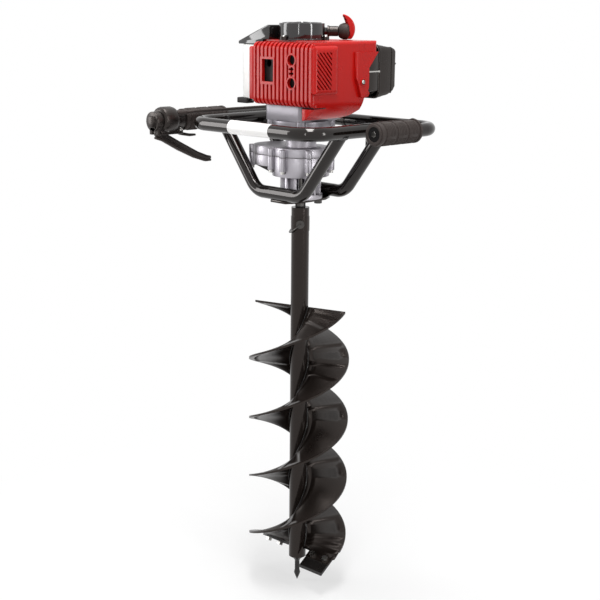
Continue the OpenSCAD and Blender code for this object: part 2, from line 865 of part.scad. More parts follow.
// cooling shroud: right wall turning under at the bottom, and the top
// outside of the shroud, filled: right wall, top, vent box and the raised step at the back
module shroud_block(lip, belly) {
    edge = shroud_x1 + vent_rise;
    step = [[34, shroud_z1 - 20], [95, shroud_z1 - 20], [70, shroud_z0 + 94], [70, shroud_z0 + 57],
        [62, shroud_z0 + 44], [50, shroud_z0 + 40], [36, shroud_z0 + 76]];
    intersection() {
        union() {
            shroud_side(lip, shroud_x1, 0);
            box([shroud_x0, -36.5, shroud_z1 - skin], [shroud_x1, 100, shroud_z1]);
        }
        union() {
            translate([0, 0, shroud_z0 - 1]) linear_extrude(32) shroud_plan(18, 0);
            translate([0, 0, shroud_z0 + 30]) linear_extrude(150) shroud_plan(8, 0);
        }
        translate([0, 110, 0]) rotate([90, 0, 0]) linear_extrude(200) shroud_front(6, belly, 0);
    }
    vent_box(0);
    intersection() {
        translate([shroud_x1 - 1, 0, 0])
            rotate([90, 0, 90]) linear_extrude(vent_rise + 1) polygon(step);
        rbox([shroud_x1 - 30, 34.5, shroud_z0], [edge, 130, shroud_z1], 5);
    }
}

module engine_shroud() {
    lip = 78;
    belly = 36;
    edge = shroud_x1 + vent_rise;
    color(red) {
        difference() {
            shroud_block(lip, belly);
            intersection() {
                shroud_side(lip - 1, shroud_x1 - skin, skin);
                translate([0, 0, shroud_z0]) linear_extrude(150) shroud_plan(15, skin);
                translate([0, 110, 0])
                    rotate([90, 0, 0]) linear_extrude(200) shroud_front(3, belly - skin, skin);
            }
            vent_box(skin);
            box([lip - 1, cover_y - 1, shroud_z0 + 23], [edge - 8, -36.5, shroud_z1 + 1]);
            box([lip - 1, 60, shroud_z0 + 59], [shroud_x1 - skin, 120, shroud_z1 - skin]);
            box([lip - 1, 68, shroud_z0], [shroud_x1 - skin, 120, shroud_z1 - skin]);
            translate([0, 0, shroud_z1 - 10]) cylinder(h = 20, r = 20);
            intersection() {
                box([edge - 10, -69, cyl_z - 16], [edge + 10, -31, cyl_z + 50]);
                for (i = [-2 : 9]) {
                    translate([edge - 10, -50, cyl_z - 18 + i * 9.2])
                        rotate([-45, 0, 0]) box([0, -40, -1.5], [20, 40, 1.5]);
                }
            }
        }
        // baffle that keeps the hot side with the vents apart from the cylinder
        box([60, -28.5, cyl_z + 35.5], [87, -26, shroud_z1 - 1]);
        box([85.5, -28.5, shroud_z0 + 35], [shroud_x1 - 1, -26, shroud_z1 - 1]);
        box([shroud_x1 - 4, -28.5, shroud_z0 + 58], [edge - 1, -26, shroud_z1 - 17]);
    }
}

// Carburettor and air cleaner

module carburettor() {
    color(alu)
        difference() {
            union() {
                box([40, 34.3, cyl_z - 14], [66, 44, cyl_z + 14]);
                rbox([36, 44, cyl_z - 18], [78, 84, cyl_z + 18], 4);
                translate([53, 80, cyl_z]) rotate([-90, 0, 0]) cylinder(h = 20.5, r = 14);
                translate([57, 66, cyl_z + 17]) cylinder(h = 10, r = 9);
            }
            translate([53, 30, cyl_z]) rotate([-90, 0, 0]) cylinder(h = 100, r = 8);
            translate([57, 66, cyl_z - 19]) cylinder(h = 7, r = 8.05);
        }
}

module primer_bulb() {
    color(red)
        translate([57, 66, cyl_z - 18]) {
            translate([0, 0, 1]) cylinder(h = 2, r = 8);
            translate([0, 0, -5]) cylinder(h = 7, r = 7);
        }
}

module air_base() {
    color(black)
        difference() {
            union() {
                rbox2([18, 100.7, cyl_z - 32], [92, 108, cyl_z + 58], 10);
                rbox2([84, 75, cyl_z - 26], [98, 106, cyl_z + 50], 5);
            }
            box([80, 72, cyl_z - 22], [94.5, 100.6, cyl_z + 46]);
            translate([53, 90, cyl_z]) rotate([-90, 0, 0]) cylinder(h = 40, r = 9);
            translate([72, 90, cyl_z + 30]) rotate([-90, 0, 0]) cylinder(h = 40, r = 3 + run_fit);
            translate([24, 90, cyl_z - 24]) rotate([-90, 0, 0]) cylinder(h = 40, r = 2.5 + run_fit);
        }
}

// a box with the edges along Y rounded
module rbox2(a, b, r) {
    translate([a[0], b[1], a[2]])
        rotate([90, 0, 0])
            linear_extrude(b[1] - a[1])
                rsq(b[0] - a[0], b[2] - a[2], r);
}

module choke_lever() {
    color(dark)
        translate([24, 96.4, cyl_z - 24])
            rotate([-90, 0, 0]) {
                cylinder(h = 10, r = 2.5);
                cylinder(h = 4, r = 6);
                translate([0, 0, 2]) rotate([0, 90, 200]) cylinder(h = 22, r = 1.8);
            }
}

module air_element() {
    color(dark)
        difference() {
            rbox2([26, 108.3, cyl_z - 24], [84, 138, cyl_z + 53], 6);
            translate([72, 90, cyl_z + 30]) rotate([-90, 0, 0]) cylinder(h = 80, r = 4);
            translate([53, 100, cyl_z]) rotate([-90, 0, 0]) cylinder(h = 24, r = 12);
        }
}

// the lid of the air cleaner, set in by e: it narrows towards its back
module air_lid(e, y0) {
    lo = [16 + e, y0, cyl_z - 39 + e];
    hi = [97 - e, 158 - e, cyl_z + 61 - e];
    intersection() {
        rbox2(lo, hi, 14 - e);
        translate([lo[0], 0, 0])
            rotate([90, 0, 90])
                linear_extrude(hi[0] - lo[0])
                    polygon([[y0, lo[2]], [112, lo[2]], [140, lo[2] + 6], [153 - e, lo[2] + 14],
                        [hi[1], lo[2] + 21], [hi[1], hi[2] - 13], [156 - e, hi[2] - 9], [151 - e, hi[2] - 6],
                        [112, hi[2]], [y0, hi[2]]]);
    }
}

module air_cover() {
    color(black)
        difference() {
            air_lid(0, 108.3);
            air_lid(3, 100);
            translate([72, 150, cyl_z + 30]) rotate([-90, 0, 0]) cylinder(h = 20, r = 4);
        }
}

module cover_knob() {
    color(black)
        translate([72, 101.5, cyl_z + 30])
            rotate([-90, 0, 0]) {
                cylinder(h = 70, r = 3);
                translate([0, 0, 56.8]) cylinder(h = 13, r = 11);
                translate([0, 0, 56.8]) rotate([0, 0, 30]) box([-15, -3, 3], [15, 3, 13]);
            }
}

// Fuel

module fuel_tank() {
    color(white)
        difference() {
            union() {
                rbox([tank_x0, tank_y0, cyl_z - 43], [-67, tank_y1, cyl_z + 59], 14);
                translate([-96, 32, cyl_z + 58]) cylinder(h = 11, r = 14);
            }
            rbox([tank_x0 + 2.5, tank_y0 + 2.5, cyl_z - 40.5], [-69.5, tank_y1 - 2.5, cyl_z + 56.5], 12);
            translate([-96, 32, cyl_z + 40]) cylinder(h = 60, r = 11);
            translate([-75, hose_y, cyl_z - 33]) rotate([0, 90, 0]) cylinder(h = 20, r = 3);
        }
}

module fuel_cap() {
    color(black)
        translate([-96, 32, cyl_z + 62])
            difference() {
                cylinder(h = 12, r = 19);
                translate([0, 0, -1]) cylinder(h = 8.3, r = 14 + run_fit);
                for (a = [0 : 30 : 330]) {
                    rotate([0, 0, a]) translate([20.5, 0, -1]) cylinder(h = 20, r = 2.5);
                }
            }
}

module tank_guard() {
    color(black)
        difference() {
            union() {
                box([-66.7, tank_y0 + 4, cyl_z - 49], [-62.7, tank_y1 - 4, cyl_z + 62]);
                box([tank_x0 - 4, tank_y0 + 4, cyl_z - 49], [-62.7, tank_y1 - 4, cyl_z - 43.3]);
                translate([0, -8, 0])
                    rotate([90, 0, 0])
                        linear_extrude(34)
                            polygon([[tank_x0 - 5, cyl_z + 59.3], [tank_x0 - 5, cyl_z + 65],
                                [-51, starter_z1 - 4], [-45, starter_z1 - 4], [-45, shroud_z1 + 0.2],
                                [-62.4, shroud_z1 + 0.2], [-62.7, cyl_z + 59.3]]);
                for (y = [-24, 20]) {
                    box([-63, y - 6, cyl_z - 10], [-36, y + 6, cyl_z + 10]);
                }
            }
            translate([-75, hose_y, cyl_z - 33]) rotate([0, 90, 0]) cylinder(h = 30, r = 5);
        }
}

// quarter bend of the hose, upright in the plane of its run
module hose_bend(c, a0) {
    translate(c)
        rotate([90, 0, 0])
            rotate([0, 0, a0])
                rotate_extrude(angle = 90)
                    translate([10, 0]) circle(r = 2.95);
}

module fuel_hose() {
    z = cyl_z - 33;
    color(dark) {
        rod([-68, hose_y, z], [14.3, hose_y, z], 2.9);
        hose_bend([14, hose_y, z + 10], -90);
        rod([24, hose_y, z + 9.7], [24, hose_y, cyl_z - 9.7], 2.9);
        hose_bend([34, hose_y, cyl_z - 10], 90);
        rod([33.7, hose_y, cyl_z], [35.8, hose_y, cyl_z], 2.9);
    }
}

module throttle_cable() {
    z = loop_z + tube_r + 4.5;
    color(black)
        run([[-arm_x + 16.8, left_end + 50, loop_z + 14.4], [-arm_x + 26, left_end + 80, z],
            [-arm_x + 30, back_y - 44, z], [-arm_x + 50, back_y - 24, z], [20, back_y - 24, z],
            [44, back_y - 40, z + 14], [48, 88, z + 36], [48, 78, cyl_z - 24], [48, 78, cyl_z - 18.3]], 3);
}

// Recoil starter

module starter_housing() {
    color(black) {
        difference() {
            union() {
                translate([0, 0, shroud_z1]) cylinder(h = starter_z1 - shroud_z1, r = starter_r);
                rotate([0, 0, 45])
                    translate([starter_r - 14, 30, rope_z]) rotate([0, 90, 0]) cylinder(h = 40, r = 7);
            }
            translate([0, 0, shroud_z1 - 1]) cylinder(h = starter_z1 - shroud_z1 - 1.5, r = starter_r - 2.5);
            rotate([0, 0, 45])
                translate([10, 30, rope_z]) rotate([0, 90, 0]) cylinder(h = 80, r = 3.2);
        }
        translate([0, 0, rope_z - 8]) cylinder(h = starter_z1 - 1 - rope_z + 8, r = 8);
    }
}

module starter_reel() {
    color(dark)
        translate([0, 0, rope_z - 7])
            difference() {
                union() {
                    cylinder(h = 3, r = 36);
                    cylinder(h = 14, r = 26);
                    translate([0, 0, 11]) cylinder(h = 3, r = 36);
                }
                translate([0, 0, -1]) cylinder(h = 20, r = 8 + run_fit);
            }
}

module starter_rope() {
    color(dark)
        rotate([0, 0, 45])
            translate([12, 30, rope_z]) rotate([0, 90, 0]) cylinder(h = 64.4, r = 2);
}

module starter_grip() {
    color(red)
        rotate([0, 0, 45])
            translate([76.5, 30, rope_z]) {
                rotate([0, 90, 0]) cylinder(h = 14, r = 6);
                rotate([90, 0, 0])
                    translate([0, 0, -7])
                        linear_extrude(14)
                            difference() {
                                translate([-4, 4]) circle(r = 28);
                                translate([-22, 4]) circle(r = 32);
                                translate([-60, -50]) square([60, 120]);
                                translate([-60, -60]) square([120, 60 - rope_z + shroud_z1 + 1.5]);
                            }
            }
}

// Bit

module bit_pole() {
    color(black)
        difference() {
            union() {
                translate([0, 0, pole_z0]) cylinder(h = pole_z1 - pole_z0, r = pole_r);
                translate([0, 0, pole_z1 - 32 - 14]) cylinder(h = 28, r = pole_r + 0.8);
            }
            translate([0, 0, pole_z0 - 1]) cylinder(h = pole_z1 - pole_z0 - 70, r = pole_r - 3.5);
            translate([0, 0, pole_z1 - 54]) cylinder(h = 80, r = shaft_r + run_fit);
            translate([0, 0, hitch_z]) rotate([0, 90, -45]) cylinder(h = 60, r = 5, center = true);
        }
}

// one helical flight: a0 is the heading of its upper end
module flight(a0) {
    n = 2 * round(flight_turn / 10);
    ri = (pole_r + 0.06) / cos(flight_turn / n / 2);
    pts = [for (i = [0 : n]) let (t = flight_turn * i / n, a = a0 - t, z = flight_top - bit_pitch * t / 360)
        for (k = [[ri, 0], [bit_r, 0], [bit_r, -flight_t], [ri, -flight_t]])
            [k[0] * cos(a), k[0] * sin(a), z + k[1]]];
    faces = concat(
        [[0, 3, 2, 1]],
        [for (i = [0 : n - 1]) let (b = 4 * i)
            for (k = [0 : 3]) let (m = (k + 1) % 4) [b + k, b + m, b + 4 + k]],
        [for (i = [0 : n - 1]) let (b = 4 * i)
            for (k = [0 : 3]) let (m = (k + 1) % 4) [b + m, b + 4 + m, b + 4 + k]],
        [[4 * n, 4 * n + 1, 4 * n + 2, 4 * n + 3]]);
    polyhedron(points = pts, faces = faces);
}

// places a piece at the lower end of a flight: X outward, Y along the cut, Z off the plate
module at_end(a0) {
    slope = atan(bit_pitch / (2 * PI * 64));
    rotate([0, 0, a0 - flight_turn])
        translate([0, 0, flight_z0])
            rotate([slope, 0, 0])
                children();
}

module flight_with_seat(a0) {
    color(black)
        difference() {
            union() {
                flight(a0);
                at_end(a0) box([36, -18, -flight_t], [96, 6, 0]);
            }
            at_end(a0) seat_holes();
            at_end(a0) box([20, -60, -flight_t - 30], [110, 20, -flight_t]);
        }
}

module seat_holes() {
    for (x = [50, 82]) {
        translate([x, -9, -20]) cylinder(h = 40, r = 4.2);
    }
}

module flight_a() {
    flight_with_seat(18);
}

module flight_b() {
    flight_with_seat(198);
}

module blades() {
    color(dark)
        for (a = [18, 198]) {
            at_end(a)
                difference() {
                    translate([34, -blade_l, -flight_t - blade_t])
                        cube([59, blade_l + 2, blade_t]);
                    translate([20, -blade_l, -flight_t - blade_t])
                        rotate([-35, 0, 0]) translate([0, -30, -30]) cube([100, 30, 60]);
                    seat_holes();
                }
        }
}

module blade_bolts() {
    color(steel)
        for (a = [18, 198]) {
            at_end(a)
                for (x = [50, 82]) {
                    translate([x, -9, -flight_t - blade_t - 6]) {
                        cylinder(h = 6, r = 6.5, $fn = 6);
                        cylinder(h = 6 + blade_t + flight_t + 5, r = 4);
                        translate([0, 0, 6 + blade_t + flight_t]) cylinder(h = 5, r = 6.5);
                    }
                }
        }
}

module pilot_point() {
    color(dark)
        rotate_extrude()
            polygon([[0, 0], [5, 12], [6.5, 17], [5, 24], [5, 44], [9, 50], [17, pole_z0 - 0.2],
                [pole_r - 3.6, pole_z0], [pole_r - 3.6, pole_z0 + 22], [0, pole_z0 + 22]]);
}

module hitch_pin() {
    color(steel)
        translate([0, 0, hitch_z])
            rotate([0, 90, -45])
                difference() {
                    union() {
                        translate([0, 0, -23]) cylinder(h = 44, r = 4.9);
                        translate([0, 0, pole_r + 1]) cylinder(h = 5, r = 8);
                    }
                    translate([0, 0, 10]) cylinder(h = 40, r = 1.6);
                    translate([0, 0, -40]) cylinder(h = 30, r = 1.6);
                }
}

module pin_bail() {
    color(steel)
        translate([0, 0, hitch_z])
            rotate([0, 0, -45])
                rotate([42, 0, 0]) {
                    rotate([0, 0, 180])
                        rotate_extrude(angle = 180) translate([28, 0]) circle(r = 1.4);
                    for (x = [-1, 1]) {
                        rod([29.8 * x, 0, 0], [15 * x, 0, 0], 1.5);
                    }
                }
}

handlebar();
frame_loop();
front_support();
rear_support();
base_plate();
base_bolts();
right_grip();
left_grip();
throttle_housing();
throttle_lever();
lock_lever();
stop_switch();
throttle_cable();
gearbox_foot();
gearbox_lower();
gearbox_upper();
output_gear();
output_shaft();
lay_gear();
clutch_drum();
shaft_bearings();
clutch_case();
case_bolts();
fan_case();
flywheel();
ignition_coil();
clutch_shoes();
crankcase();
crankshaft();
connecting_rod();
piston();
engine_cylinder();
spark_plug();
plug_cap();
muffler();
muffler_cover();
engine_shroud();
carburettor();
choke_lever();
primer_bulb();
air_base();
air_element();
air_cover();
cover_knob();
fuel_tank();
fuel_cap();
tank_guard();
fuel_hose();
starter_housing();
starter_reel();
starter_rope();
starter_grip();
bit_pole();
flight_a();
flight_b();
blades();
blade_bolts();
pilot_point();
hitch_pin();
pin_bail();
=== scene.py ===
# %% [markdown]
# # Dressing an earth auger
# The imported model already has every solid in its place. This lesson adds the finishes and the small
# made details: rounded edges, weld beads, grip ribs, screws and seams. Everything is in metres, with
# the tip of the pilot point at the origin and the drive axis along Z.

# %% Load the solids
import json
import math

import bpy
from mathutils import Matrix, Vector


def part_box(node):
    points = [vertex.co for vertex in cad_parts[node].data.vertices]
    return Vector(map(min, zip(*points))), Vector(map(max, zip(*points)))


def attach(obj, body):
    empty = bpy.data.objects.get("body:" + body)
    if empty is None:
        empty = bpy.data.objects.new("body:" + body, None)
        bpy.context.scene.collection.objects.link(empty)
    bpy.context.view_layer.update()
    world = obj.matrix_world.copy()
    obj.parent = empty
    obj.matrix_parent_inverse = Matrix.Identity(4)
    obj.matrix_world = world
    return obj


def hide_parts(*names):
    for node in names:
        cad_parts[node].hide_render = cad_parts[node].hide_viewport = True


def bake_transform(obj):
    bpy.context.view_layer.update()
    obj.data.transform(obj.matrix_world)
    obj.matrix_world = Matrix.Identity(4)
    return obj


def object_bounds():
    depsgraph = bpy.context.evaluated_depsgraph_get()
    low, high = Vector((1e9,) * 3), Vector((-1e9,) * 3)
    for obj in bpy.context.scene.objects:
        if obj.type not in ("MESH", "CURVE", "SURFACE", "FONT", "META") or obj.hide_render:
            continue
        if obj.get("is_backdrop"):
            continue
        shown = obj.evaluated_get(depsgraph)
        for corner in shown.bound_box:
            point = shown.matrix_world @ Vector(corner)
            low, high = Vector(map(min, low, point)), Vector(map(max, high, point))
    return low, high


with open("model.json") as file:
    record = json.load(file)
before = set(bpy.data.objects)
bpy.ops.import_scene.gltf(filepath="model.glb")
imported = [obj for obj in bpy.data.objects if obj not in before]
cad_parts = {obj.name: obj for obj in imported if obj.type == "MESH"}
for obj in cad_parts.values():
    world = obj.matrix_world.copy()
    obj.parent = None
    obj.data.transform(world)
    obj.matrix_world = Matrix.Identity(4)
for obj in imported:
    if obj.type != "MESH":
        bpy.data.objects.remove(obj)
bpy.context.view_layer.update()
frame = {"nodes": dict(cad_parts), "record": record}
nodes = frame["nodes"]
body_of_node = {n: b for b, group in frame["record"]["behaviour"]["bodies"].items() for n in group}
slot_of_node = {p["node"]: p["material_slot"] for p in frame["record"]["subparts"]}

# %% [markdown]
# ## Camera
# The photograph was taken from the corner between the muffler side and the cylinder side, a little
# above the handles. The distance, height, tilt and lens come from fitting a camera to the outline of
# the bit, so they are typed in as measured. A very small roll and sideways shift are part of that fit.

# %% Camera at the photograph's angle
away, eye = 2.282, 1.1625
tilt, roll, heading = math.radians(13.8), math.radians(0.52), math.radians(45)
sensor_width, focal_length = 36.0, 71.4
shift_px, frame_px = 0.45, 600
lens_data = bpy.data.cameras.new("photo_camera")
lens_data.sensor_width = sensor_width
lens_data.lens = focal_length
lens_data.shift_x = shift_px / frame_px
camera = bpy.data.objects.new("photo_camera", lens_data)
bpy.context.scene.collection.objects.link(camera)
look_down = Matrix.Rotation(math.pi / 2 - tilt, 4, "X") @ Matrix.Rotation(roll, 4, "Z")
turn = Matrix.Rotation(heading, 4, "Z") @ look_down
stand_point = (away * math.sin(heading), -away * math.cos(heading), eye)
camera.matrix_world = Matrix.Translation(stand_point) @ turn
bpy.context.scene.camera = camera
bpy.context.scene.view_settings.view_transform = "Standard"
print("camera at", [round(v, 3) for v in camera.location])

# %% [markdown]
# ## Nodes for the white room
# The floor and the world are both plain white to the eye, and to what the metal reflects, but dimmer as a
# source of light. Light Path tells the two kinds of ray apart. The helpers here add a node with its values
# and join two outputs in one Math node, so that the trees below read like a short list.

# %% Helpers for nodes
white = (1, 1, 1, 1)


def add_node(tree, kind, values=None, operation=None):
    made = tree.nodes.new(kind)
    if operation:
        made.operation = operation
    for socket, value in (values or {}).items():
        made.inputs[socket].default_value = value
    return made


def combine(tree, operation, first, second):
    made = add_node(tree, "ShaderNodeMath", operation=operation)
    tree.links.new(first, made.inputs[0])
    tree.links.new(second, made.inputs[1])
    return made.outputs[0]


def seen_or_mirrored(tree):
    rays = add_node(tree, "ShaderNodeLightPath")
    share = combine(tree, "MAXIMUM", rays.outputs["Is Camera Ray"], rays.outputs["Is Glossy Ray"])
    return combine(tree, "MAXIMUM", share, rays.outputs["Is Transmission Ray"])


print("helpers for nodes ready")

# %% [markdown]
# ## Floor
# The floor is a pale matt sheet near the tip, where it takes the shadow, and fades to the white of the
# room with the distance from the tip. The fade mixes the matt shader with a plain glow.

# %% Floor
floor_size, floor_cells, floor_drop = 60, 8, 0.0005
fade_near, fade_far, fade_least = 0.1, 0.9, 0.55


def clear_selection():
    if bpy.context.object and bpy.context.object.mode != "OBJECT":
        bpy.ops.object.mode_set(mode="OBJECT")
    bpy.ops.object.select_all(action="DESELECT")


clear_selection()
bpy.ops.mesh.primitive_grid_add(x_subdivisions=floor_cells, y_subdivisions=floor_cells, size=floor_size,
                                location=(0, 0, -floor_drop))
floor = bpy.context.object
floor.name = "studio_floor"
floor_finish = bpy.data.materials.new("studio_floor")
floor_finish.use_nodes = True
floor_tree = floor_finish.node_tree
ground = floor_tree.nodes["Principled BSDF"]
ground.inputs["Base Color"].default_value = (0.90, 0.90, 0.90, 1)
ground.inputs["Roughness"].default_value = 0.8
ground.inputs["Specular IOR Level"].default_value = 0.05
floor_place = add_node(floor_tree, "ShaderNodeTexCoord")
floor_reach = add_node(floor_tree, "ShaderNodeVectorMath", operation="LENGTH")
floor_fade = add_node(floor_tree, "ShaderNodeMapRange",
                      {"From Min": fade_near, "From Max": fade_far, "To Min": fade_least})
floor_glow = add_node(floor_tree, "ShaderNodeEmission", {"Color": white})
floor_mix = add_node(floor_tree, "ShaderNodeMixShader")
floor_tree.links.new(floor_place.outputs["Object"], floor_reach.inputs[0])
floor_tree.links.new(floor_reach.outputs["Value"], floor_fade.inputs["Value"])
floor_share = combine(floor_tree, "MULTIPLY", floor_fade.outputs["Result"], seen_or_mirrored(floor_tree))
floor_tree.links.new(floor_share, floor_mix.inputs[0])
floor_tree.links.new(ground.outputs[0], floor_mix.inputs[1])
floor_tree.links.new(floor_glow.outputs[0], floor_mix.inputs[2])
floor_tree.links.new(floor_mix.outputs[0], floor_tree.nodes["Material Output"].inputs["Surface"])
floor.data.materials.append(floor_finish)
floor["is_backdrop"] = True
print("floor", floor_size, "m wide")

# %% [markdown]
# ## Light
# A product picture like this one is lit by soft panels in a white room. A large one stands at the left, a
# narrow one at the right and a thin one in front, which draw upright bands on round black parts. A long
# strip hangs overhead, so that level tubes carry a crisp line of light along their upper side.

# %% Panels and world
room_as_lamp, room_to_eye = 0.42, 1.0
engine_height, above_middle = (0, 0, 1.0), (0, 0, 0.9)


def panel_light(name, at, aim, size, power):
    lamp = bpy.data.lights.new(name, "AREA")
    lamp.shape = "RECTANGLE"
    lamp.size, lamp.size_y = size
    lamp.energy = power
    holder = bpy.data.objects.new(name, lamp)
    bpy.context.scene.collection.objects.link(holder)
    holder.location = at
    holder.rotation_euler = (Vector(aim) - Vector(at)).to_track_quat("-Z", "Y").to_euler()


panel_light("left_panel", at=(-2.0, -1.75, 1.45), aim=engine_height, size=(0.9, 2.1), power=37)
panel_light("right_strip", at=(2.7, 0.15, 1.3), aim=engine_height, size=(0.3, 1.9), power=22)
panel_light("front_strip", at=(1.35, -2.5, 1.5), aim=engine_height, size=(0.14, 1.6), power=7)
panel_light("top_strip", at=(0.3, -0.3, 3.0), aim=above_middle, size=(0.5, 2.1), power=62)

world = bpy.data.worlds.new("white_room")
bpy.context.scene.world = world
world.use_nodes = True
room = world.node_tree
room.nodes.clear()
bright = add_node(room, "ShaderNodeMapRange", {"To Min": room_as_lamp, "To Max": room_to_eye})
sky = add_node(room, "ShaderNodeBackground", {"Color": white})
room_out = add_node(room, "ShaderNodeOutputWorld")
room.links.new(seen_or_mirrored(room), bright.inputs["Value"])
room.links.new(bright.outputs["Result"], sky.inputs["Strength"])
room.links.new(sky.outputs[0], room_out.inputs[0])

# %% [markdown]
# ## Shared surface effects
# Paint, plastic and cast metal all have a fine grain and a slow change of gloss, and most of them
# carry faint hair scratches and a little dust on what faces up. Each effect is built once as a node
# group with its own inputs, so that every finish can use it at its own scale.

# %% Node group for grain
def new_group(name, inputs, outputs):
    tree = bpy.data.node_groups.new(name, "ShaderNodeTree")
    for label, kind, value in inputs:
        socket = tree.interface.new_socket(name=label, in_out="INPUT", socket_type=kind)
        if value is not None:
            socket.default_value = value
    for label, kind in outputs:
        tree.interface.new_socket(name=label, in_out="OUTPUT", socket_type=kind)
    return tree, tree.nodes.new("NodeGroupInput"), tree.nodes.new("NodeGroupOutput")


grain, g_in, g_out = new_group("surface_grain",
    [("Vector", "NodeSocketVector", None), ("Scale", "NodeSocketFloat", 900.0),
     ("Slow Scale", "NodeSocketFloat", 14.0)],
    [("Height", "NodeSocketFloat"), ("Vary", "NodeSocketFloat")])
for scale, detail, result in (("Scale", 3.0, "Height"), ("Slow Scale", 4.0, "Vary")):
    noise = add_node(grain, "ShaderNodeTexNoise", {"Detail": detail})
    grain.links.new(g_in.outputs["Vector"], noise.inputs["Vector"])
    grain.links.new(g_in.outputs[scale], noise.inputs["Scale"])
    grain.links.new(noise.outputs["Fac"], g_out.inputs[result])
print("group", grain.name)

# %% Node group for hair scratches
scratch_turn, scratch_stretch, scratch_width = (0.5, 0.9, 0.3), (1.0, 0.12, 0.35), 0.012
scratch, s_in, s_out = new_group("hair_scratches",
    [("Vector", "NodeSocketVector", None), ("Scale", "NodeSocketFloat", 30.0),
     ("Cover", "NodeSocketFloat", 0.56)],
    [("Mask", "NodeSocketFloat")])
stretch = add_node(scratch, "ShaderNodeMapping", {"Rotation": scratch_turn, "Scale": scratch_stretch})
cells = add_node(scratch, "ShaderNodeTexVoronoi")
cells.feature = "DISTANCE_TO_EDGE"
thin = add_node(scratch, "ShaderNodeMapRange", {"From Max": scratch_width, "To Min": 1.0, "To Max": 0.0})
patch = add_node(scratch, "ShaderNodeTexNoise", {"Scale": 11.0})
scratch.links.new(s_in.outputs["Vector"], stretch.inputs["Vector"])
scratch.links.new(stretch.outputs["Vector"], cells.inputs["Vector"])
scratch.links.new(s_in.outputs["Scale"], cells.inputs["Scale"])
scratch.links.new(cells.outputs["Distance"], thin.inputs["Value"])
scratch.links.new(s_in.outputs["Vector"], patch.inputs["Vector"])
where = combine(scratch, "GREATER_THAN", patch.outputs["Fac"], s_in.outputs["Cover"])
scratch.links.new(combine(scratch, "MULTIPLY", thin.outputs["Result"], where), s_out.inputs["Mask"])
print("group", scratch.name)

# %% Node group for dust
dust, d_in, d_out = new_group("settled_dust",
    [("Vector", "NodeSocketVector", None), ("Amount", "NodeSocketFloat", 0.2)],
    [("Mask", "NodeSocketFloat")])
facing = add_node(dust, "ShaderNodeNewGeometry")
split = add_node(dust, "ShaderNodeSeparateXYZ")
upward = add_node(dust, "ShaderNodeMapRange", {"From Min": 0.45})
cloud = add_node(dust, "ShaderNodeTexNoise", {"Scale": 45.0, "Detail": 5.0})
dust.links.new(facing.outputs["Normal"], split.inputs["Vector"])
dust.links.new(split.outputs["Z"], upward.inputs["Value"])
dust.links.new(d_in.outputs["Vector"], cloud.inputs["Vector"])
lay = combine(dust, "MULTIPLY", upward.outputs["Result"], cloud.outputs["Fac"])
dust.links.new(combine(dust, "MULTIPLY", lay, d_in.outputs["Amount"]), d_out.inputs["Mask"])
print("group", dust.name)

# %% [markdown]
# ## Finishes
# The machine has a few families of surface: sprayed enamel on the steel, moulded plastic in red and
# black, moulded rubber, sand-cast aluminium, plated steel, and the milky plastic of the tank. They differ in
# colour, gloss and grain, so one recipe with its own numbers for each is enough.

# %% One recipe for every finish
dust_colour = (0.42, 0.40, 0.37, 1)
bump_strength = 0.6
gloss_from, gloss_to = 0.3, 0.7


def use_group(tree, group, place, values):
    used = tree.nodes.new("ShaderNodeGroup")
    used.node_tree = group
    for label, value in values.items():
        used.inputs[label].default_value = value
    tree.links.new(place.outputs["Object"], used.inputs["Vector"])
    return used


def colour_mix(tree, factor):
    mix = tree.nodes.new("ShaderNodeMix")
    mix.data_type = "RGBA"
    tree.links.new(factor, mix.inputs["Factor"])
    return mix


def finish(name, colour, deep, rough, metal=0.0, grain_scale=900.0, grain_depth=0.0002, slow_scale=14.0,
           marks=0.0, dusty=0.0, specular=0.5, tint=(1, 1, 1)):
    made = bpy.data.materials.new(name)
    made.use_nodes = True
    tree = made.node_tree
    shader = tree.nodes["Principled BSDF"]
    shader.inputs["Metallic"].default_value = metal
    shader.inputs["Specular IOR Level"].default_value = specular
    shader.inputs["Specular Tint"].default_value = (*tint, 1)
    place = tree.nodes.new("ShaderNodeTexCoord")
    texture = use_group(tree, grain, place, {"Scale": grain_scale, "Slow Scale": slow_scale})
    tone = colour_mix(tree, texture.outputs["Vary"])
    tone.inputs["A"].default_value = (*deep, 1)
    tone.inputs["B"].default_value = (*colour, 1)
    surface = tone.outputs["Result"]
    gloss = add_node(tree, "ShaderNodeMapRange", {"From Min": gloss_from, "From Max": gloss_to,
                                                  "To Min": rough[0], "To Max": rough[1]})
    tree.links.new(texture.outputs["Vary"], gloss.inputs["Value"])
    roughness = gloss.outputs["Result"]
    if marks:
        hair = use_group(tree, scratch, place, {})
        dull = add_node(tree, "ShaderNodeMath", {1: marks}, operation="MULTIPLY_ADD")
        tree.links.new(hair.outputs["Mask"], dull.inputs[0])
        tree.links.new(roughness, dull.inputs[2])
        roughness = dull.outputs[0]
    if dusty:
        settled = use_group(tree, dust, place, {"Amount": dusty})
        veil = colour_mix(tree, settled.outputs["Mask"])
        veil.inputs["B"].default_value = dust_colour
        tree.links.new(surface, veil.inputs["A"])
        surface = veil.outputs["Result"]
    bump = add_node(tree, "ShaderNodeBump", {"Strength": bump_strength, "Distance": grain_depth})
    tree.links.new(texture.outputs["Height"], bump.inputs["Height"])
    tree.links.new(surface, shader.inputs["Base Color"])
    tree.links.new(roughness, shader.inputs["Roughness"])
    tree.links.new(bump.outputs["Normal"], shader.inputs["Normal"])
    return made


print("recipe ready")

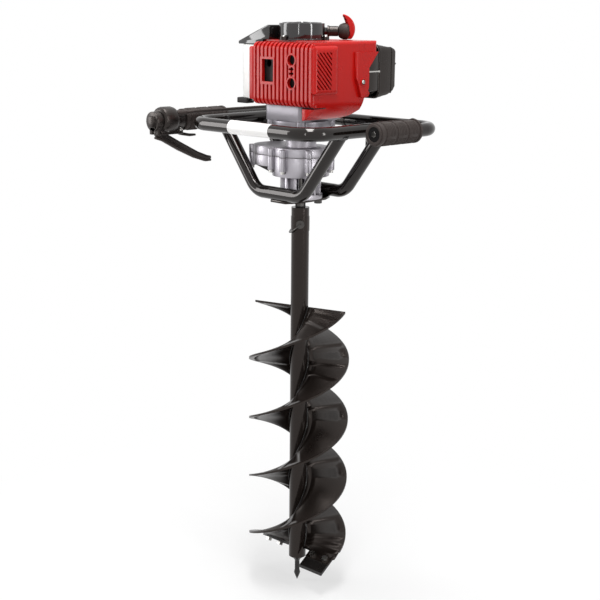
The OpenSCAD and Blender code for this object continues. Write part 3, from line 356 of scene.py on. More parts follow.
# %% Finishes of the record's material slots
warm = (1.0, 0.88, 0.82)
finishes = {
    "black_paint": finish("black_enamel", (0.0085, 0.0055, 0.0045), (0.0055, 0.0036, 0.0030), (0.09, 0.16),
        grain_scale=260, grain_depth=0.0001, marks=0.12, dusty=0.012, specular=0.36, tint=warm),
    "grip_rubber": finish("grip_rubber", (0.026, 0.020, 0.019), (0.017, 0.013, 0.012), (0.50, 0.66),
        grain_scale=1800, grain_depth=0.00025, dusty=0.04, specular=0.4, tint=warm),
    "black_plastic": finish("black_moulding", (0.012, 0.0098, 0.0092), (0.008, 0.0065, 0.006), (0.22, 0.36),
        grain_scale=1500, grain_depth=0.0001, marks=0.1, dusty=0.03, specular=0.38, tint=warm),
    "red_plastic": finish("red_moulding", (0.47, 0.0060, 0.0035), (0.38, 0.0040, 0.0025), (0.24, 0.34),
        grain_scale=700, grain_depth=0.00006, marks=0.1, dusty=0.012, specular=0.27),
    "cast_aluminium": finish("cast_aluminium", (0.45, 0.43, 0.465), (0.35, 0.335, 0.36), (0.36, 0.44),
        metal=1.0, grain_scale=1300, grain_depth=0.00014, slow_scale=25),
    "steel": finish("plated_steel", (0.56, 0.55, 0.53), (0.42, 0.41, 0.39), (0.20, 0.34), metal=1.0,
        grain_scale=900, grain_depth=0.0001, slow_scale=60),
    "blade_steel": finish("blade_enamel", (0.012, 0.0105, 0.010), (0.008, 0.007, 0.0065), (0.20, 0.34),
        grain_scale=500, grain_depth=0.0002, marks=0.2, specular=0.4),
    "tank_plastic": finish("milky_tank", (0.88, 0.88, 0.86), (0.82, 0.82, 0.80), (0.32, 0.42),
        grain_scale=600, grain_depth=0.0001),
    "porcelain_white": finish("plug_porcelain", (0.82, 0.82, 0.80), (0.74, 0.74, 0.72), (0.08, 0.14),
        grain_depth=0.00004),
    "foam": finish("filter_foam", (0.045, 0.045, 0.047), (0.02, 0.02, 0.02), (0.85, 0.95), grain_scale=700,
        grain_depth=0.0012, specular=0.2),
}
milky = finishes["tank_plastic"].node_tree.nodes["Principled BSDF"]
milky.inputs["Subsurface Weight"].default_value = 0.25
milky.inputs["Subsurface Radius"].default_value = (0.02, 0.02, 0.02)
milky.inputs["Subsurface Scale"].default_value = 0.6
print("finishes", sorted(m.name for m in finishes.values()))

# %% Finishes of single pieces
looks = {
    "gloss_black": finish("gloss_moulding", (0.010, 0.0085, 0.0085), (0.007, 0.006, 0.006), (0.05, 0.10),
        grain_scale=300, grain_depth=0.00004, marks=0.08, dusty=0.01, specular=0.75),
    "tube": finish("tube_enamel", (0.0055, 0.0040, 0.0034), (0.0036, 0.0027, 0.0023), (0.07, 0.13),
        grain_scale=260, grain_depth=0.00005, marks=0.1, dusty=0.01, specular=0.42, tint=(1.0, 0.95, 0.93)),
    "flight": finish("flight_enamel", (0.0098, 0.0068, 0.0056), (0.0072, 0.0050, 0.0042), (0.27, 0.35),
        grain_scale=260, grain_depth=0.00008, marks=0.06, dusty=0.006, specular=0.33, tint=warm),
    # A darker copy of the cast aluminium for the fan and clutch cases: painted shade that holds their
    # brightness down.
    "shaded_fan_cast": finish("fan_casting_darkened_as_shade", (0.31, 0.295, 0.32), (0.21, 0.20, 0.22), (0.40, 0.52), metal=1.0,
        grain_scale=700, grain_depth=0.00012, marks=0.05, dusty=0.05),
    # Rough near black: the own colour of the muffler, output shaft and guard lip, and painted shade on the
    # gearbox web.
    "heat_black_and_shade": finish("heat_blackened_and_painted_shade", (0.020, 0.017, 0.016), (0.010, 0.009, 0.009), (0.55, 0.75),
        grain_scale=800, grain_depth=0.0004, slow_scale=40, specular=0.3),
    "weld": finish("painted_weld", (0.010, 0.0085, 0.008), (0.006, 0.005, 0.005), (0.16, 0.28),
        grain_scale=240, grain_depth=0.0012, specular=0.4),
    "film": finish("bare_film", (0.80, 0.79, 0.78), (0.74, 0.73, 0.72), (0.22, 0.34), grain_scale=70,
        grain_depth=0.0004, specular=0.45),
    "gasket": finish("gasket_card", (0.20, 0.19, 0.19), (0.13, 0.12, 0.12), (0.6, 0.75), grain_scale=1500,
        grain_depth=0.0003, specular=0.2),
    "dark_steel": finish("oiled_steel", (0.10, 0.095, 0.09), (0.05, 0.048, 0.046), (0.25, 0.4), metal=1.0,
        grain_scale=700, grain_depth=0.0001, slow_scale=50),
    # Near-black matt discs laid in the screw wells: painted shade at the bottom of the wells.
    "painted_shade": finish("well_shade_paint", (0.005, 0.0045, 0.0045), (0.003, 0.003, 0.003), (0.7, 0.85),
        grain_scale=900, grain_depth=0.0002, specular=0.15),
}
print("looks", sorted(m.name for m in looks.values()))

# %% Paint the solids
nodes_of_look = {
    "tube": ("handlebar", "frame_loop", "front_support", "rear_support"),
    "shaded_fan_cast": ("fan_case", "clutch_case"),
    "gloss_black": ("starter_housing", "tank_guard", "stop_switch"),
    "heat_black_and_shade": ("muffler", "output_shaft"),
    "dark_steel": ("hitch_pin", "pin_bail", "base_bolts"),
}
look_of_node = {node: look for look, group in nodes_of_look.items() for node in group}


def paint_of(node):
    return looks[look_of_node[node]] if node in look_of_node else finishes[slot_of_node[node]]


for name, solid in nodes.items():
    solid.data.materials.clear()
    solid.data.materials.append(paint_of(name))
    for face in solid.data.polygons:
        face.material_index = 0
print("painted", len(nodes))

# %% [markdown]
# ## Rounded edges
# Moulded and cast parts have no knife edges: every corner catches a thin line of light. The solids are
# exact but sharp, so the visible ones are copied, their loose triangles merged, flat areas joined,
# and a bevel run along the sharp edges. The copy stands for the solid and rides with its body.

# %% Helpers for meshes
mm = 0.001
smooth_below = math.radians(32)
weld_distance = 0.01 * mm


def edit_all():
    bpy.ops.object.mode_set(mode="EDIT")
    bpy.ops.mesh.select_all(action="SELECT")


def leave_edit():
    bpy.ops.object.mode_set(mode="OBJECT")


def point_outwards():
    bpy.ops.mesh.select_all(action="SELECT")
    bpy.ops.mesh.normals_make_consistent(inside=False)


def make_active(piece):
    clear_selection()
    piece.select_set(True)
    bpy.context.view_layer.objects.active = piece


def dress(piece, body, slot, paint=None):
    make_active(piece)
    bpy.ops.object.shade_smooth_by_angle(angle=smooth_below)
    piece.data.materials.clear()
    piece.data.materials.append(paint or finishes[slot])
    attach(piece, body)
    return piece


def merged_copy(node, name):
    piece = bpy.data.objects.new(name, nodes[node].data.copy())
    bpy.context.scene.collection.objects.link(piece)
    make_active(piece)
    edit_all()
    bpy.ops.mesh.remove_doubles(threshold=weld_distance)
    leave_edit()
    return piece


print("helpers for meshes ready")

# %% Rounded copies of the visible castings and mouldings
flat_below = math.radians(0.6)
wide_edge = 2
edge_width = {
    "air_cover": 2.5, "air_base": 0.8,
    "fuel_tank": 2.5, "fuel_cap": 1.0, "tank_guard": 1.4, "starter_housing": 1.2,
    "starter_grip": 2.5, "throttle_housing": 1.2, "throttle_lever": 1.8, "lock_lever": 1.2,
    "stop_switch": 0.8, "gearbox_foot": 0.6, "gearbox_lower": 0.8, "gearbox_upper": 1.0, "clutch_case": 0.8,
    "fan_case": 1.0, "base_plate": 0.6, "right_grip": 0.7, "left_grip": 0.7,
}


def bevel(piece, width, segments, sharp_deg, clamp=True, miter="MITER_SHARP"):
    edge = piece.modifiers.new("edge", "BEVEL")
    edge.width = width * mm
    edge.segments = segments
    edge.limit_method = "ANGLE"
    edge.angle_limit = math.radians(sharp_deg)
    edge.use_clamp_overlap = clamp
    edge.miter_outer = miter
    bpy.ops.object.modifier_apply(modifier="edge")


def rounded(node, width, segments):
    piece = merged_copy(node, node + "_finished")
    edit_all()
    bpy.ops.mesh.dissolve_limited(angle_limit=flat_below)
    leave_edit()
    bevel(piece, width, segments, sharp_deg=38, clamp=False, miter="MITER_ARC")
    dress(piece, body_of_node[node], slot_of_node[node], paint_of(node))
    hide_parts(node)
    return piece


for node, width in edge_width.items():
    made = rounded(node, width, 3 if width > wide_edge else 2)
    print(made.name, len(made.data.polygons))

# %% [markdown]
# ## Smooth flights
# A flight is a strip of steel plate pressed into a helix. The solid holds it as long narrow triangles from
# the pole to the rim, which shade in streaks. On the copy the slanting edges are dissolved, which leaves
# four-sided faces, and the level rays between them are cut into eight. The new points lie on the same
# straight rays, so the shape stays and the shading smooths.

# %% Finer copies of the two flights
near_pole, near_rim, level_within = 19 * mm, 95 * mm, 0.2 * mm
cuts_in_ray = 7


def pick_edges(strip, level):
    points = strip.data.vertices
    bpy.ops.object.mode_set(mode="EDIT")
    bpy.ops.mesh.select_mode(type="EDGE")
    bpy.ops.mesh.select_all(action="DESELECT")
    leave_edit()
    for edge in strip.data.edges:
        first, last = (points[i].co for i in edge.vertices)
        inner, outer = sorted((math.hypot(*first.xy), math.hypot(*last.xy)))
        is_level = abs(first.z - last.z) < level_within
        edge.select = inner < near_pole and outer > near_rim and is_level == level
    picked = sum(edge.select for edge in strip.data.edges)
    bpy.ops.object.mode_set(mode="EDIT")
    return picked


for node in ("flight_a", "flight_b"):
    strip = merged_copy(node, node + "_finished")
    slants = pick_edges(strip, level=False)
    bpy.ops.mesh.dissolve_edges(use_verts=False)
    leave_edit()
    rays = pick_edges(strip, level=True)
    bpy.ops.mesh.subdivide(number_cuts=cuts_in_ray)
    bpy.ops.mesh.select_mode(type="FACE")
    leave_edit()
    dress(strip, body_of_node[node], slot_of_node[node], looks["flight"])
    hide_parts(node)
    print(strip.name, slants, "slants,", rays, "rays,", len(strip.data.polygons), "faces")

# %% [markdown]
# ## Turned parts
# Screws, caps, ears and ferrules are round about one axis. Such a part could be spun from a profile, but
# a disc that is extruded and resized step by step, up and back down into a socket, follows how the part
# is turned on a lathe and keeps every ring clean. One part is made at the origin and copied to each place.
# Its steps are pairs of radius and height in millimetres.

# %% A turned part, and a copy at a place
along_x, along_y, along_z = (1, 0, 0), (0, 1, 0), (0, 0, 1)


def turned(name, steps, sides):
    radius, height = steps[0]
    clear_selection()
    bpy.ops.mesh.primitive_circle_add(vertices=sides, radius=radius * mm, fill_type="NGON")
    piece = bpy.context.object
    piece.name = name
    edit_all()
    for next_radius, next_height in steps[1:]:
        rise = (next_height - height) * mm
        grow = next_radius / radius
        bpy.ops.mesh.extrude_region_move(TRANSFORM_OT_translate={"value": (0, 0, rise)})
        bpy.ops.transform.resize(value=(grow, grow, 1))
        radius, height = next_radius, next_height
    point_outwards()
    leave_edit()
    piece.data.transform(Matrix.Translation((0, 0, steps[0][1] * mm)))
    return piece


def stand(at, axis=along_z):
    aim = Vector(axis).to_track_quat("Z", "Y").to_matrix().to_4x4()
    return Matrix.Translation(Vector(at) * mm) @ aim


def copy_at(master, name, place):
    twin = master.copy()
    twin.data = master.data.copy()
    twin.name = name
    bpy.context.scene.collection.objects.link(twin)
    twin.data.transform(place)
    return twin


def join(pieces, name):
    clear_selection()
    for piece in pieces:
        piece.select_set(True)
    bpy.context.view_layer.objects.active = pieces[0]
    bpy.ops.object.join()
    pieces[0].name = name
    return pieces[0]


def drop_masters(*masters):
    for master in masters:
        bpy.data.objects.remove(master)


def millimetres(node):
    low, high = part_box(node)
    return [v / mm for v in low], [v / mm for v in high]


print("lathe ready")

# %% [markdown]
# ## Screws
# The starter is held by three ears with a screw in each, the shroud by one screw in a well with a disc of
# painted shade at its bottom, and the throttle housing by two. The masters are turned once, with a socket
# sunk in the head of the screw.

# %% Cover screws
shroud_front = millimetres("engine_shroud")[1][0]
drum_low, drum_high = millimetres("starter_housing")
house_low, house_high = millimetres("throttle_housing")
ear_reach, ear_height, ear_headings = drum_high[0] + 3.5, 6.2, (-92, 28, 148)
throttle_screw_y, throttle_screw_sunk, throttle_screw_rise = (-158, -126), 5, 9
shroud_screw_y, shroud_screw_z, shroud_screw_proud = 53, 1029.4, 0.6
screw = turned("screw_master", [(3.6, 0), (3.6, 1.0), (2.9, 2.0), (1.9, 2.2), (1.9, 0.8), (0.4, 0.6)], 24)
ear = turned("ear_master", [(6.5, 0), (6.5, 6.0), (5.9, 6.8), (4.4, 6.8), (4.4, 6.2)], 28)
socket = turned("socket_master", [(7.2, 0), (7.2, 1.0), (6.6, 1.5), (5.0, 1.5), (5.0, 0.7)], 28)
# The well is a thin near-black disc of painted shade.
well = turned("well_shade_master", [(5.0, 0), (5.0, 0.9), (4.6, 1.0)], 28)
shroud_screw_at = (shroud_front + shroud_screw_proud, shroud_screw_y, shroud_screw_z)
screw_places = {"shroud_screw": (shroud_screw_at, along_x)}
for i, y in enumerate(throttle_screw_y):
    at = (house_high[0] - throttle_screw_sunk, y, house_low[2] + throttle_screw_rise)
    screw_places["throttle_screw_%d" % i] = (at, along_x)
for i, angle in enumerate(math.radians(a) for a in ear_headings):
    out = Vector((math.cos(angle), math.sin(angle), 0)) * ear_reach
    dress(copy_at(ear, "starter_ear_%d" % i, stand((out.x, out.y, drum_low[2]))), "chassis", "black_plastic")
    screw_places["starter_screw_%d" % i] = ((out.x, out.y, drum_low[2] + ear_height), along_z)
for name, (at, axis) in screw_places.items():
    dress(copy_at(screw, name, stand(at, axis)), "chassis", "steel")
shroud_place = stand((shroud_front, shroud_screw_y, shroud_screw_z), along_x)
dress(copy_at(socket, "shroud_socket", shroud_place), "chassis", "red_plastic")
# A dark disc in the socket: painted shade at the bottom of the screw well.
dress(copy_at(well, "shroud_well_shade", shroud_place), "chassis", "red_plastic", looks["painted_shade"])
drop_masters(screw, ear, socket, well)
print("screws", sorted(screw_places))

# %% [markdown]
# ## Recoil starter
# The starter's lid has a raised ring, a hub button and a wreath of cooling bars, all moulded in one with
# it. The ring and the button are turned. One bar is a cube with rounded edges, copied round the lid.

# %% Starter lid
bar_count = 16


def block(name, low, high, edge, segments):
    clear_selection()
    middle = [(a + b) / 2 * mm for a, b in zip(low, high)]
    bpy.ops.mesh.primitive_cube_add(size=1, location=middle, scale=[(b - a) * mm for a, b in zip(low, high)])
    piece = bpy.context.object
    piece.name = name
    bpy.ops.object.transform_apply(location=True, rotation=True, scale=True)
    edit_all()
    bpy.ops.mesh.bevel(offset=edge * mm, segments=segments, affect="EDGES")
    leave_edit()
    return piece


lid_top = stand((0, 0, drum_high[2]))
lid = turned("starter_lid", [(37, 0), (37, 0.8), (36, 1.4), (31.5, 1.4), (31, 0.3)], 72)
dress(copy_at(lid, "starter_ring", lid_top), "chassis", "black_plastic", looks["gloss_black"])
hub = turned("starter_hub", [(12, 0), (12, 1.2), (10.8, 2.2), (5, 2.6)], 40)
dress(copy_at(hub, "starter_button", lid_top), "chassis", "black_plastic", looks["gloss_black"])
bar = block("bar_master", (15, -1.3, -0.3), (28, 1.3, 1.3), 0.6, segments=2)
bars = [copy_at(bar, "bar_%d" % i, lid_top @ Matrix.Rotation(i * math.tau / bar_count, 4, "Z"))
        for i in range(bar_count)]
wreath = dress(join(bars, "starter_bars"), "chassis", "black_plastic", looks["gloss_black"])
drop_masters(lid, hub, bar)
print("starter bars", len(wreath.data.polygons))

# %% [markdown]
# ## Core of the starter handle
# The rope leaves through a black sleeve. A rubber core in the red handle keeps it from knocking on the
# sleeve. It is turned like the other round parts and rides with the handle. When the handle is pulled, more
# rope comes off the reel: a short length between sleeve and core stands for it.

# %% Handle core
rope_low, rope_high = millimetres("starter_rope")
pull_low = millimetres("starter_grip")[0]
sleeve_back, drawn_back = 21.6, 16
rope_slack, rope_step, rope_rings = 0.15, 2, 13
core = turned("core_master", [(10.0, 0), (13.0, 3.0), (15.5, 9.0), (15.5, 16.0), (11.5, 20.0)], 40)
sleeve = turned("sleeve_master", [(10.5, 0), (10.5, 3.0), (9.5, 4.5), (9.5, 20.0), (8.5, 21.2)], 40)
core_at = (pull_low[0], pull_low[1], (rope_low[2] + rope_high[2]) / 2)
along_rope = Vector((1, 1, 0)).normalized()
sleeve_at = Vector(core_at) - along_rope * sleeve_back
dress(copy_at(core, "handle_core", stand(core_at, along_rope)), "pull", "grip_rubber")
dress(copy_at(sleeve, "guide_sleeve", stand(sleeve_at, along_rope)), "chassis", "black_plastic")
rope_r = (rope_high[2] - rope_low[2]) / 2 - rope_slack
drawn = turned("drawn_master", [(rope_r, rope_step * i) for i in range(rope_rings)], 16)
drawn_rope = copy_at(drawn, "drawn_rope", stand(Vector(core_at) - along_rope * drawn_back, along_rope))
drawn_rope.data.materials.append(paint_of("starter_rope"))
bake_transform(drawn_rope)
drop_masters(core, sleeve, drawn)
print("core at", [round(v, 1) for v in core_at], "handle from", [round(v, 1) for v in pull_low])

# %% [markdown]
# ## Flange, lip and collar
# The muffler cover ends in a plain flange at the back, the guard under the tank has a rubber lip on its
# corner, and the throttle housing is clamped to the tube by a swollen collar. The first two are cubes with
# rounded edges, placed from the box of the solid that they sit on, and the collar is turned.

# %% Flange, lip and collar
cover_low, cover_high = millimetres("muffler_cover")
guard_low = millimetres("tank_guard")[0]
flange_low = (cover_low[0] - 11, cover_low[1] + 4, cover_low[2] + 8)
flange_high = (cover_low[0] + 4, cover_low[1] + 30, cover_high[2] - 9)
dress(block("cover_flange", flange_low, flange_high, 4, segments=3), "chassis", "red_plastic")
lip_low = (guard_low[0] - 3, guard_low[1] - 2, guard_low[2] - 4)
lip_high = (guard_low[0] + 26, guard_low[1] + 18, guard_low[2] + 6.6)
lip = block("guard_lip", lip_low, lip_high, 2, segments=3)
dress(lip, "chassis", "black_plastic", looks["heat_black_and_shade"])
collar = turned("collar_master", [(19.5, 0), (23.5, 2.5), (25.0, 7), (25.0, 27), (23.0, 33), (19.5, 36)], 56)
collar_at = ((house_low[0] + house_high[0]) / 2 + 3.5, house_low[1] + 20, house_high[2] - 16.5)
dress(copy_at(collar, "throttle_collar", stand(collar_at, along_y)), "chassis", "black_plastic")
drop_masters(collar)
print("flange at", [round(v) for v in cover_low], "lip at", [round(v) for v in guard_low])

# %% [markdown]
# ## Back of the throttle lever
# The lever has a rubber back on the side the fingers pull. It is made from the lever's own lower faces,
# so that it follows the bend: the other faces of a copy are deleted and the strip is thickened outwards.

# %% Lever back
back_width, back_thick, back_edge = 9, 4.5, 1.3
faces_down = -0.5


def pick_faces(piece, test):
    bpy.ops.object.mode_set(mode="EDIT")
    bpy.ops.mesh.select_mode(type="FACE")
    bpy.ops.mesh.select_all(action="DESELECT")
    leave_edit()
    for face in piece.data.polygons:
        face.select = test(face)
    bpy.ops.object.mode_set(mode="EDIT")


def thicken(piece, thickness, offset, even=False):
    wall = piece.modifiers.new("wall", "SOLIDIFY")
    wall.thickness = thickness * mm
    wall.offset = offset
    wall.use_even_offset = even
    bpy.ops.object.modifier_apply(modifier="wall")


lever_low, lever_high = millimetres("throttle_lever")
lever_x = (lever_low[0] + lever_high[0]) / 2
back = merged_copy("throttle_lever", "throttle_lever_back")
pick_faces(back, lambda face: face.normal.z > faces_down
           or abs(face.center.x / mm - lever_x) > back_width / 2)
bpy.ops.mesh.delete(type="FACE")
leave_edit()
thicken(back, back_thick, offset=1, even=True)
bevel(back, back_edge, segments=2, sharp_deg=50)
dress(back, "throttle", "grip_rubber")
print(back.name, len(back.data.polygons))

# %% [markdown]
# ## Grip pads
# The rubber sleeves have three blocks of fine cross ribs, four pads to a block, so that a gloved hand
# does not slip. One rib is a small ring section spun through part of a turn. An array lays six of
# them in a row for a pad, and the pad is copied round and along both sleeves.

# %% One ribbed pad
rib_r, rib_sides, rib_sunk, rib_sweep, rib_steps = 0.9, 8, 1, math.radians(74), 10
ribs_in_pad, rib_step = 6, 4
fine_weld = 0.001 * mm
grip_low, grip_high = millimetres("right_grip")
land_r = (grip_high[2] - grip_low[2]) / 2 - rib_sunk
clear_selection()
bpy.ops.mesh.primitive_circle_add(vertices=rib_sides, radius=rib_r * mm, fill_type="NOTHING",
                                  location=(land_r * mm, 0, 0), rotation=(math.pi / 2, 0, 0))
pad = bpy.context.object
bpy.ops.object.transform_apply(location=True, rotation=True, scale=True)
edit_all()
bpy.ops.mesh.spin(steps=rib_steps, angle=rib_sweep, center=(0, 0, 0), axis=(0, 0, 1))
bpy.ops.mesh.select_all(action="SELECT")
bpy.ops.mesh.remove_doubles(threshold=fine_weld)
bpy.ops.mesh.fill_holes(sides=0)
point_outwards()
leave_edit()
rows = pad.modifiers.new("rows", "ARRAY")
rows.count = ribs_in_pad
rows.use_relative_offset = False
rows.use_constant_offset = True
rows.constant_offset_displace = (0, 0, rib_step * mm)
bpy.ops.object.modifier_apply(modifier="rows")
print("pad", len(pad.data.polygons))

# %% Pads of both grips
blocks_on_grip, pads_in_block = 3, 4
first_block, block_step, pad_turn = 14, 30, 8
for node in ("right_grip", "left_grip"):
    low, high = millimetres(node)
    grip_end = ((low[0] + high[0]) / 2, low[1], (low[2] + high[2]) / 2)
    pads = []
    for land in range(blocks_on_grip):
        for quarter in range(pads_in_block):
            along = Matrix.Translation((0, 0, (first_block + block_step * land) * mm))
            swing = Matrix.Rotation(math.radians(90 * quarter + pad_turn), 4, "Z")
            pads.append(copy_at(pad, "pad", stand(grip_end, along_y) @ swing @ along))
    ribs = dress(join(pads, node + "_ribs"), "chassis", "grip_rubber")
    print(ribs.name, len(ribs.data.polygons))
drop_masters(pad)

# %% [markdown]
# ## End screw of the right grip
# The closed end of the grip has a raised rim round a well, whose floor is a dark disc of painted shade, with
# the head of a clamping bolt in it.
# All three are turned, the bolt with six sides.

# %% Grip end
rim = turned("grip_rim", [(18.5, 0), (18.5, 0.8), (17.4, 2.0), (14.0, 2.0), (13.2, 0.6)], 40)
well = turned("grip_well_shade_master", [(13.1, 0), (13.1, 0.8), (12.6, 0.9)], 40)
bolt = turned("grip_bolt_master", [(5.6, 0.6), (5.6, 1.6), (5.0, 2.2), (3.0, 2.2), (3.0, 1.0)], 6)
grip_end = ((grip_low[0] + grip_high[0]) / 2, grip_low[1], (grip_low[2] + grip_high[2]) / 2)
grip_front = stand(grip_end, (0, -1, 0))
dress(copy_at(rim, "grip_end", grip_front), "chassis", "grip_rubber")
# A near-black disc in the well: painted shade inside the grip end.
dress(copy_at(well, "grip_well_shade", grip_front), "chassis", "grip_rubber", looks["painted_shade"])
dress(copy_at(bolt, "grip_bolt", grip_front), "chassis", "steel", looks["dark_steel"])
drop_masters(rim, well, bolt)
print("grip end at", [round(v) for v in grip_end])

# %% [markdown]
# ## Joint lines
# Two halves of a casting meet on a gasket, and blow-moulded or lidded parts show a seam. The line follows
# the outline of the part exactly, so it is cut from a copy of the part itself with two planes, and the
# thin strip that is left gets a little thickness outwards.

# %% Gasket and seams
def seam(node, name, at, normal, width, proud, slot, paint=None):
    strip = merged_copy(node, name)
    across = Vector(normal)
    for side in (-1, 1):
        edit_all()
        bpy.ops.mesh.bisect(plane_co=Vector(at) * mm + across * side * width * mm / 2, plane_no=across,
                            clear_inner=side < 0, clear_outer=side > 0)
        leave_edit()
    thicken(strip, proud, offset=1)
    dress(strip, "chassis", slot, paint)
    print(name, len(strip.data.polygons))


case_bottom = millimetres("gearbox_upper")[0][2]
tank_bottom = millimetres("fuel_tank")[0][2]
air_low, air_high = millimetres("air_cover")
seam("gearbox_upper", "gearbox_gasket", (0, 0, case_bottom + 0.7), along_z, 0.8, 0.15, "black_plastic",
     looks["gasket"])
seam("fuel_tank", "tank_seam", (0, 0, tank_bottom + 48), along_z, 2.0, 0.8, "tank_plastic")
seam("air_cover", "air_cover_rim", (0, air_low[1] + 5, 0), along_y, 4.0, 0.8, "black_plastic")
seam("air_cover", "air_cover_step", (0, air_high[1] - 12, 0), along_y, 1.6, 0.6, "black_plastic")
seam("starter_housing", "starter_foot", (0, 0, drum_low[2] + 1.8), along_z, 2.4, 1.0, "black_plastic",
     looks["gloss_black"])

# %% [markdown]
# ## Web under the gearbox
# The casting runs out under the smaller lobe in a slanting web that meets the foot of the main case. It is
# a turned cone whose lower ring is slid sideways, so its outer side slopes and its inner side stays hidden.
# The web is cast aluminium but is painted near black, as painted shade under the lobe.

# %% Gearbox web
lobe_x, lobe_r, slide, low_ring = -54, 51, 44, 1.2
case_floor = millimetres("gearbox_lower")[0][2]
web = turned("gearbox_web", [(lobe_r, 18.5), (lobe_r, 16.2), (43, 0.8), (41, 0)], 64)
pick_faces(web, lambda face: face.center.z < low_ring * mm)
bpy.ops.transform.translate(value=(slide * mm, 0, 0))
point_outwards()
leave_edit()
web.data.transform(Matrix.Translation((lobe_x * mm, 0, case_floor * mm)))
# Painted shade: the aluminium web is given the near-black finish for the shade under the lobe.
dress(web, "chassis", "cast_aluminium", looks["heat_black_and_shade"])
print("web from", round(case_floor), "mm")

# %% [markdown]
# ## Choke rod
# A thin plated rod runs beside the intake from the shroud to the air cleaner. It is turned with a small
# collar at each end.

# %% Choke rod
rod_at, rod_length = (100.2, 74, 1047), 33
rod = turned("rod_master", [(2.6, 0), (2.6, 3), (1.6, 3.6), (1.6, 30), (2.4, 30.6), (2.4, rod_length)], 20)
dress(copy_at(rod, "choke_rod", stand(rod_at, along_y)), "chassis", "steel")
drop_masters(rod)
print("choke rod", rod_length, "mm")

# %% [markdown]
# ## Weld beads
# The flights and the frame are welded from plate and tube, and paint does not hide the beads. Along the
# pole the bead is a helix: a small ring on the corner of plate and pole, carried round by a Screw
# modifier with the pitch of the flight. Where one tube ends on another the bead runs round a saddle, so
# a torus is made and its points are slid along the tube until they lie on the other one.

# %% Beads along the flights
pole_r, pitch, turns_deg, flight_bottom, plate = 17.5, 250, 735, 80, 4
bead_r, bead_sides, bead_lift, bead_steps = 1.5, 8, 0.4, 196
for name, heading_deg in (("flight_a", 3), ("flight_b", 183)):
    for side, rise in (("upper", bead_lift), ("lower", -plate - bead_lift)):
        clear_selection()
        corner = ((pole_r + bead_lift) * mm, 0, (flight_bottom + rise) * mm)
        bpy.ops.mesh.primitive_circle_add(vertices=bead_sides, radius=bead_r * mm, fill_type="NOTHING",
                                          location=corner, rotation=(math.pi / 2, 0, 0))
        bead = bpy.context.object
        bead.name = "weld_%s_%s" % (name, side)
        bpy.ops.object.transform_apply(location=True, rotation=True, scale=True)
        helix = bead.modifiers.new("helix", "SCREW")
        helix.angle = math.radians(turns_deg)
        helix.screw_offset = pitch * turns_deg / 360 * mm
        helix.steps = bead_steps
        helix.render_steps = bead_steps
        bpy.ops.object.modifier_apply(modifier="helix")
        edit_all()
        bpy.ops.mesh.fill_holes(sides=0)
        point_outwards()
        leave_edit()
        bead.data.transform(Matrix.Rotation(math.radians(heading_deg), 4, "Z"))
        dress(bead, "bit", "black_paint", looks["weld"])
        top = max(bead.data.vertices, key=lambda v: v.co.z).co
        top_deg = round(math.degrees(math.atan2(top.y, top.x)))
        print(bead.name, "top at", round(top.z / mm), "mm, heading", top_deg)

# %% Beads where the tubes of the frame meet
tube_r, saddle_r, saddle_lift = 12.5, 2.2, 0.3
torus_r, torus_segments, torus_sides = tube_r + 0.2, 56, 8


def saddle_weld(name, at, leg, cross):
    clear_selection()
    bpy.ops.mesh.primitive_torus_add(major_radius=torus_r * mm, minor_radius=saddle_r * mm,
                                     major_segments=torus_segments, minor_segments=torus_sides)
    bead = bpy.context.object
    bead.name = name
    reach = (tube_r + saddle_lift) * mm
    for point in bead.data.vertices:
        point.co.z -= math.sqrt(max(reach * reach - point.co.y * point.co.y, 0))
    up, along = Vector(leg).normalized(), Vector(cross).normalized()
    frame_of_leg = Matrix((along, up.cross(along), up)).transposed().to_4x4()
    bead.data.transform(Matrix.Translation(Vector(at) * mm) @ frame_of_leg)
    dress(bead, "chassis", "black_paint", looks["weld"])


loop_low, loop_high = millimetres("frame_loop")
loop_x, loop_z = loop_high[0] - tube_r, (loop_low[2] + loop_high[2]) / 2
bar_y = millimetres("handlebar")[1][1] - tube_r
foot_x = 62
foot_y = millimetres("rear_support")[1][1] - tube_r
foot_z = millimetres("front_support")[0][2] + tube_r
for sign, hand in ((-1, "left"), (1, "right")):
    saddle_weld("weld_bar_%s" % hand, (sign * loop_x, bar_y, loop_z), along_y, along_x)
    for label, y in (("front", -foot_y), ("rear", foot_y)):
        leg = (sign * (loop_x - foot_x), 0, loop_z - foot_z)
        saddle_weld("weld_%s_%s" % (label, hand), (sign * loop_x, y, loop_z), leg, along_y)
print("frame welds at", round(loop_x), round(bar_y), round(foot_y))

# %% [markdown]
# ## Bare sleeve on the front tube
# A plain white film is wrapped round the front tube. It is a short open cylinder, thickened inwards by a
# Solidify modifier, with a fine bevel on its ends so that they catch the light.

# %% White film
film_from, film_to = -43, 65
film_r, film_sides, film_thick, film_edge = tube_r + 0.35, 64, 0.25, 0.1
film_middle = ((film_from + film_to) / 2 * mm, (loop_low[1] + tube_r) * mm, loop_z * mm)
clear_selection()
bpy.ops.mesh.primitive_cylinder_add(vertices=film_sides, radius=film_r * mm, depth=(film_to - film_from) * mm,
                                    end_fill_type="NOTHING", location=film_middle,
                                    rotation=(0, math.pi / 2, 0))
film = bpy.context.object
film.name = "front_film"
bpy.ops.object.transform_apply(location=True, rotation=True, scale=True)
edit_all()
bpy.ops.mesh.normals_make_consistent(inside=False)
bpy.ops.mesh.subdivide(number_cuts=1)
leave_edit()
thicken(film, film_thick, offset=-1)
bevel(film, film_edge, segments=1, sharp_deg=30)
dress(film, "chassis", "tank_plastic", looks["film"])
print("film", film_to - film_from, "mm long")

# %% [markdown]
# ## Cable fittings
# The throttle cable is a stiff sheathed cable. It leaves its housing through a rubber boot, runs behind
# the bar in two clips, and ends in an adjuster on the carburettor. The boot and the adjuster are turned,
# and a clip is a flat strap between two rings.

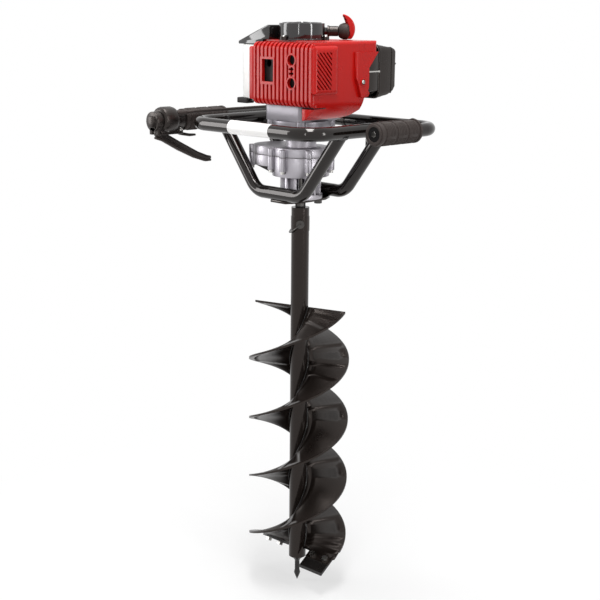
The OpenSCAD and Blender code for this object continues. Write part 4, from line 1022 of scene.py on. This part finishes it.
# %% Boots and clips of the throttle cable
cable_start, cable_next = Vector((-203.2, -136, 961.4)), Vector((-194, -106, 964))
nut_at = (48, 78, 998)
clip_x, clip_width, strap_thick, strap_edge = (-120, -10), 8, 1.4, 0.3
strap_from, strap_short, strap_spare = 14, 4, 16
cable_y, cable_z = bar_y - 24, loop_z + tube_r + 4.5
boot = turned("boot_master", [(6.0, -4), (6.0, 6), (4.6, 14), (3.7, 20), (3.2, 20)], 24)
dress(copy_at(boot, "cable_boot", stand(cable_start, cable_next - cable_start)), "chassis", "grip_rubber")
nut = turned("nut_master", [(5.2, 0), (5.2, 6), (4.2, 7), (4.2, 15), (3.4, 16)], 6)
dress(copy_at(nut, "cable_nut", stand(nut_at)), "chassis", "steel")
ring = turned("ring_master", [(3.2, -4), (4.6, -4), (4.6, 4), (3.2, 4)], 24)
collar = turned("collar_master", [(12.6, -4), (14.2, -4), (14.2, 4), (12.6, 4)], 40)
reach = Vector((0, cable_y - bar_y, cable_z - loop_z))
lean = Matrix.Rotation(math.atan2(-reach.y, reach.z), 4, "X")
strap_half = (clip_width / 2, strap_thick / 2, (reach.length - strap_spare) / 2)
strap_middle = (strap_from + reach.length - strap_short) / 2 / reach.length
for i, x in enumerate(clip_x):
    strap = block("strap", [-v for v in strap_half], strap_half, strap_edge, segments=2)
    centre = Vector((x, bar_y, loop_z)) + reach * strap_middle
    strap.data.transform(Matrix.Translation(centre * mm) @ lean)
    small = copy_at(ring, "clip_ring", stand((x, cable_y, cable_z), along_x))
    large = copy_at(collar, "clip_collar", stand((x, bar_y, loop_z), along_x))
    dress(join([strap, small, large], "cable_clip_%d" % i), "chassis", "black_plastic")
drop_masters(boot, nut, ring, collar)
print("clips on the bar, cable", round(reach.length), "mm off")

# %% [markdown]
# ## Sizes
# The dressing must not change the size of the machine. The box of the finished pieces is printed.

# %% Sizes and finish
low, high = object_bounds()
print("visual box", [round(v, 4) for v in low], [round(v, 4) for v in high])
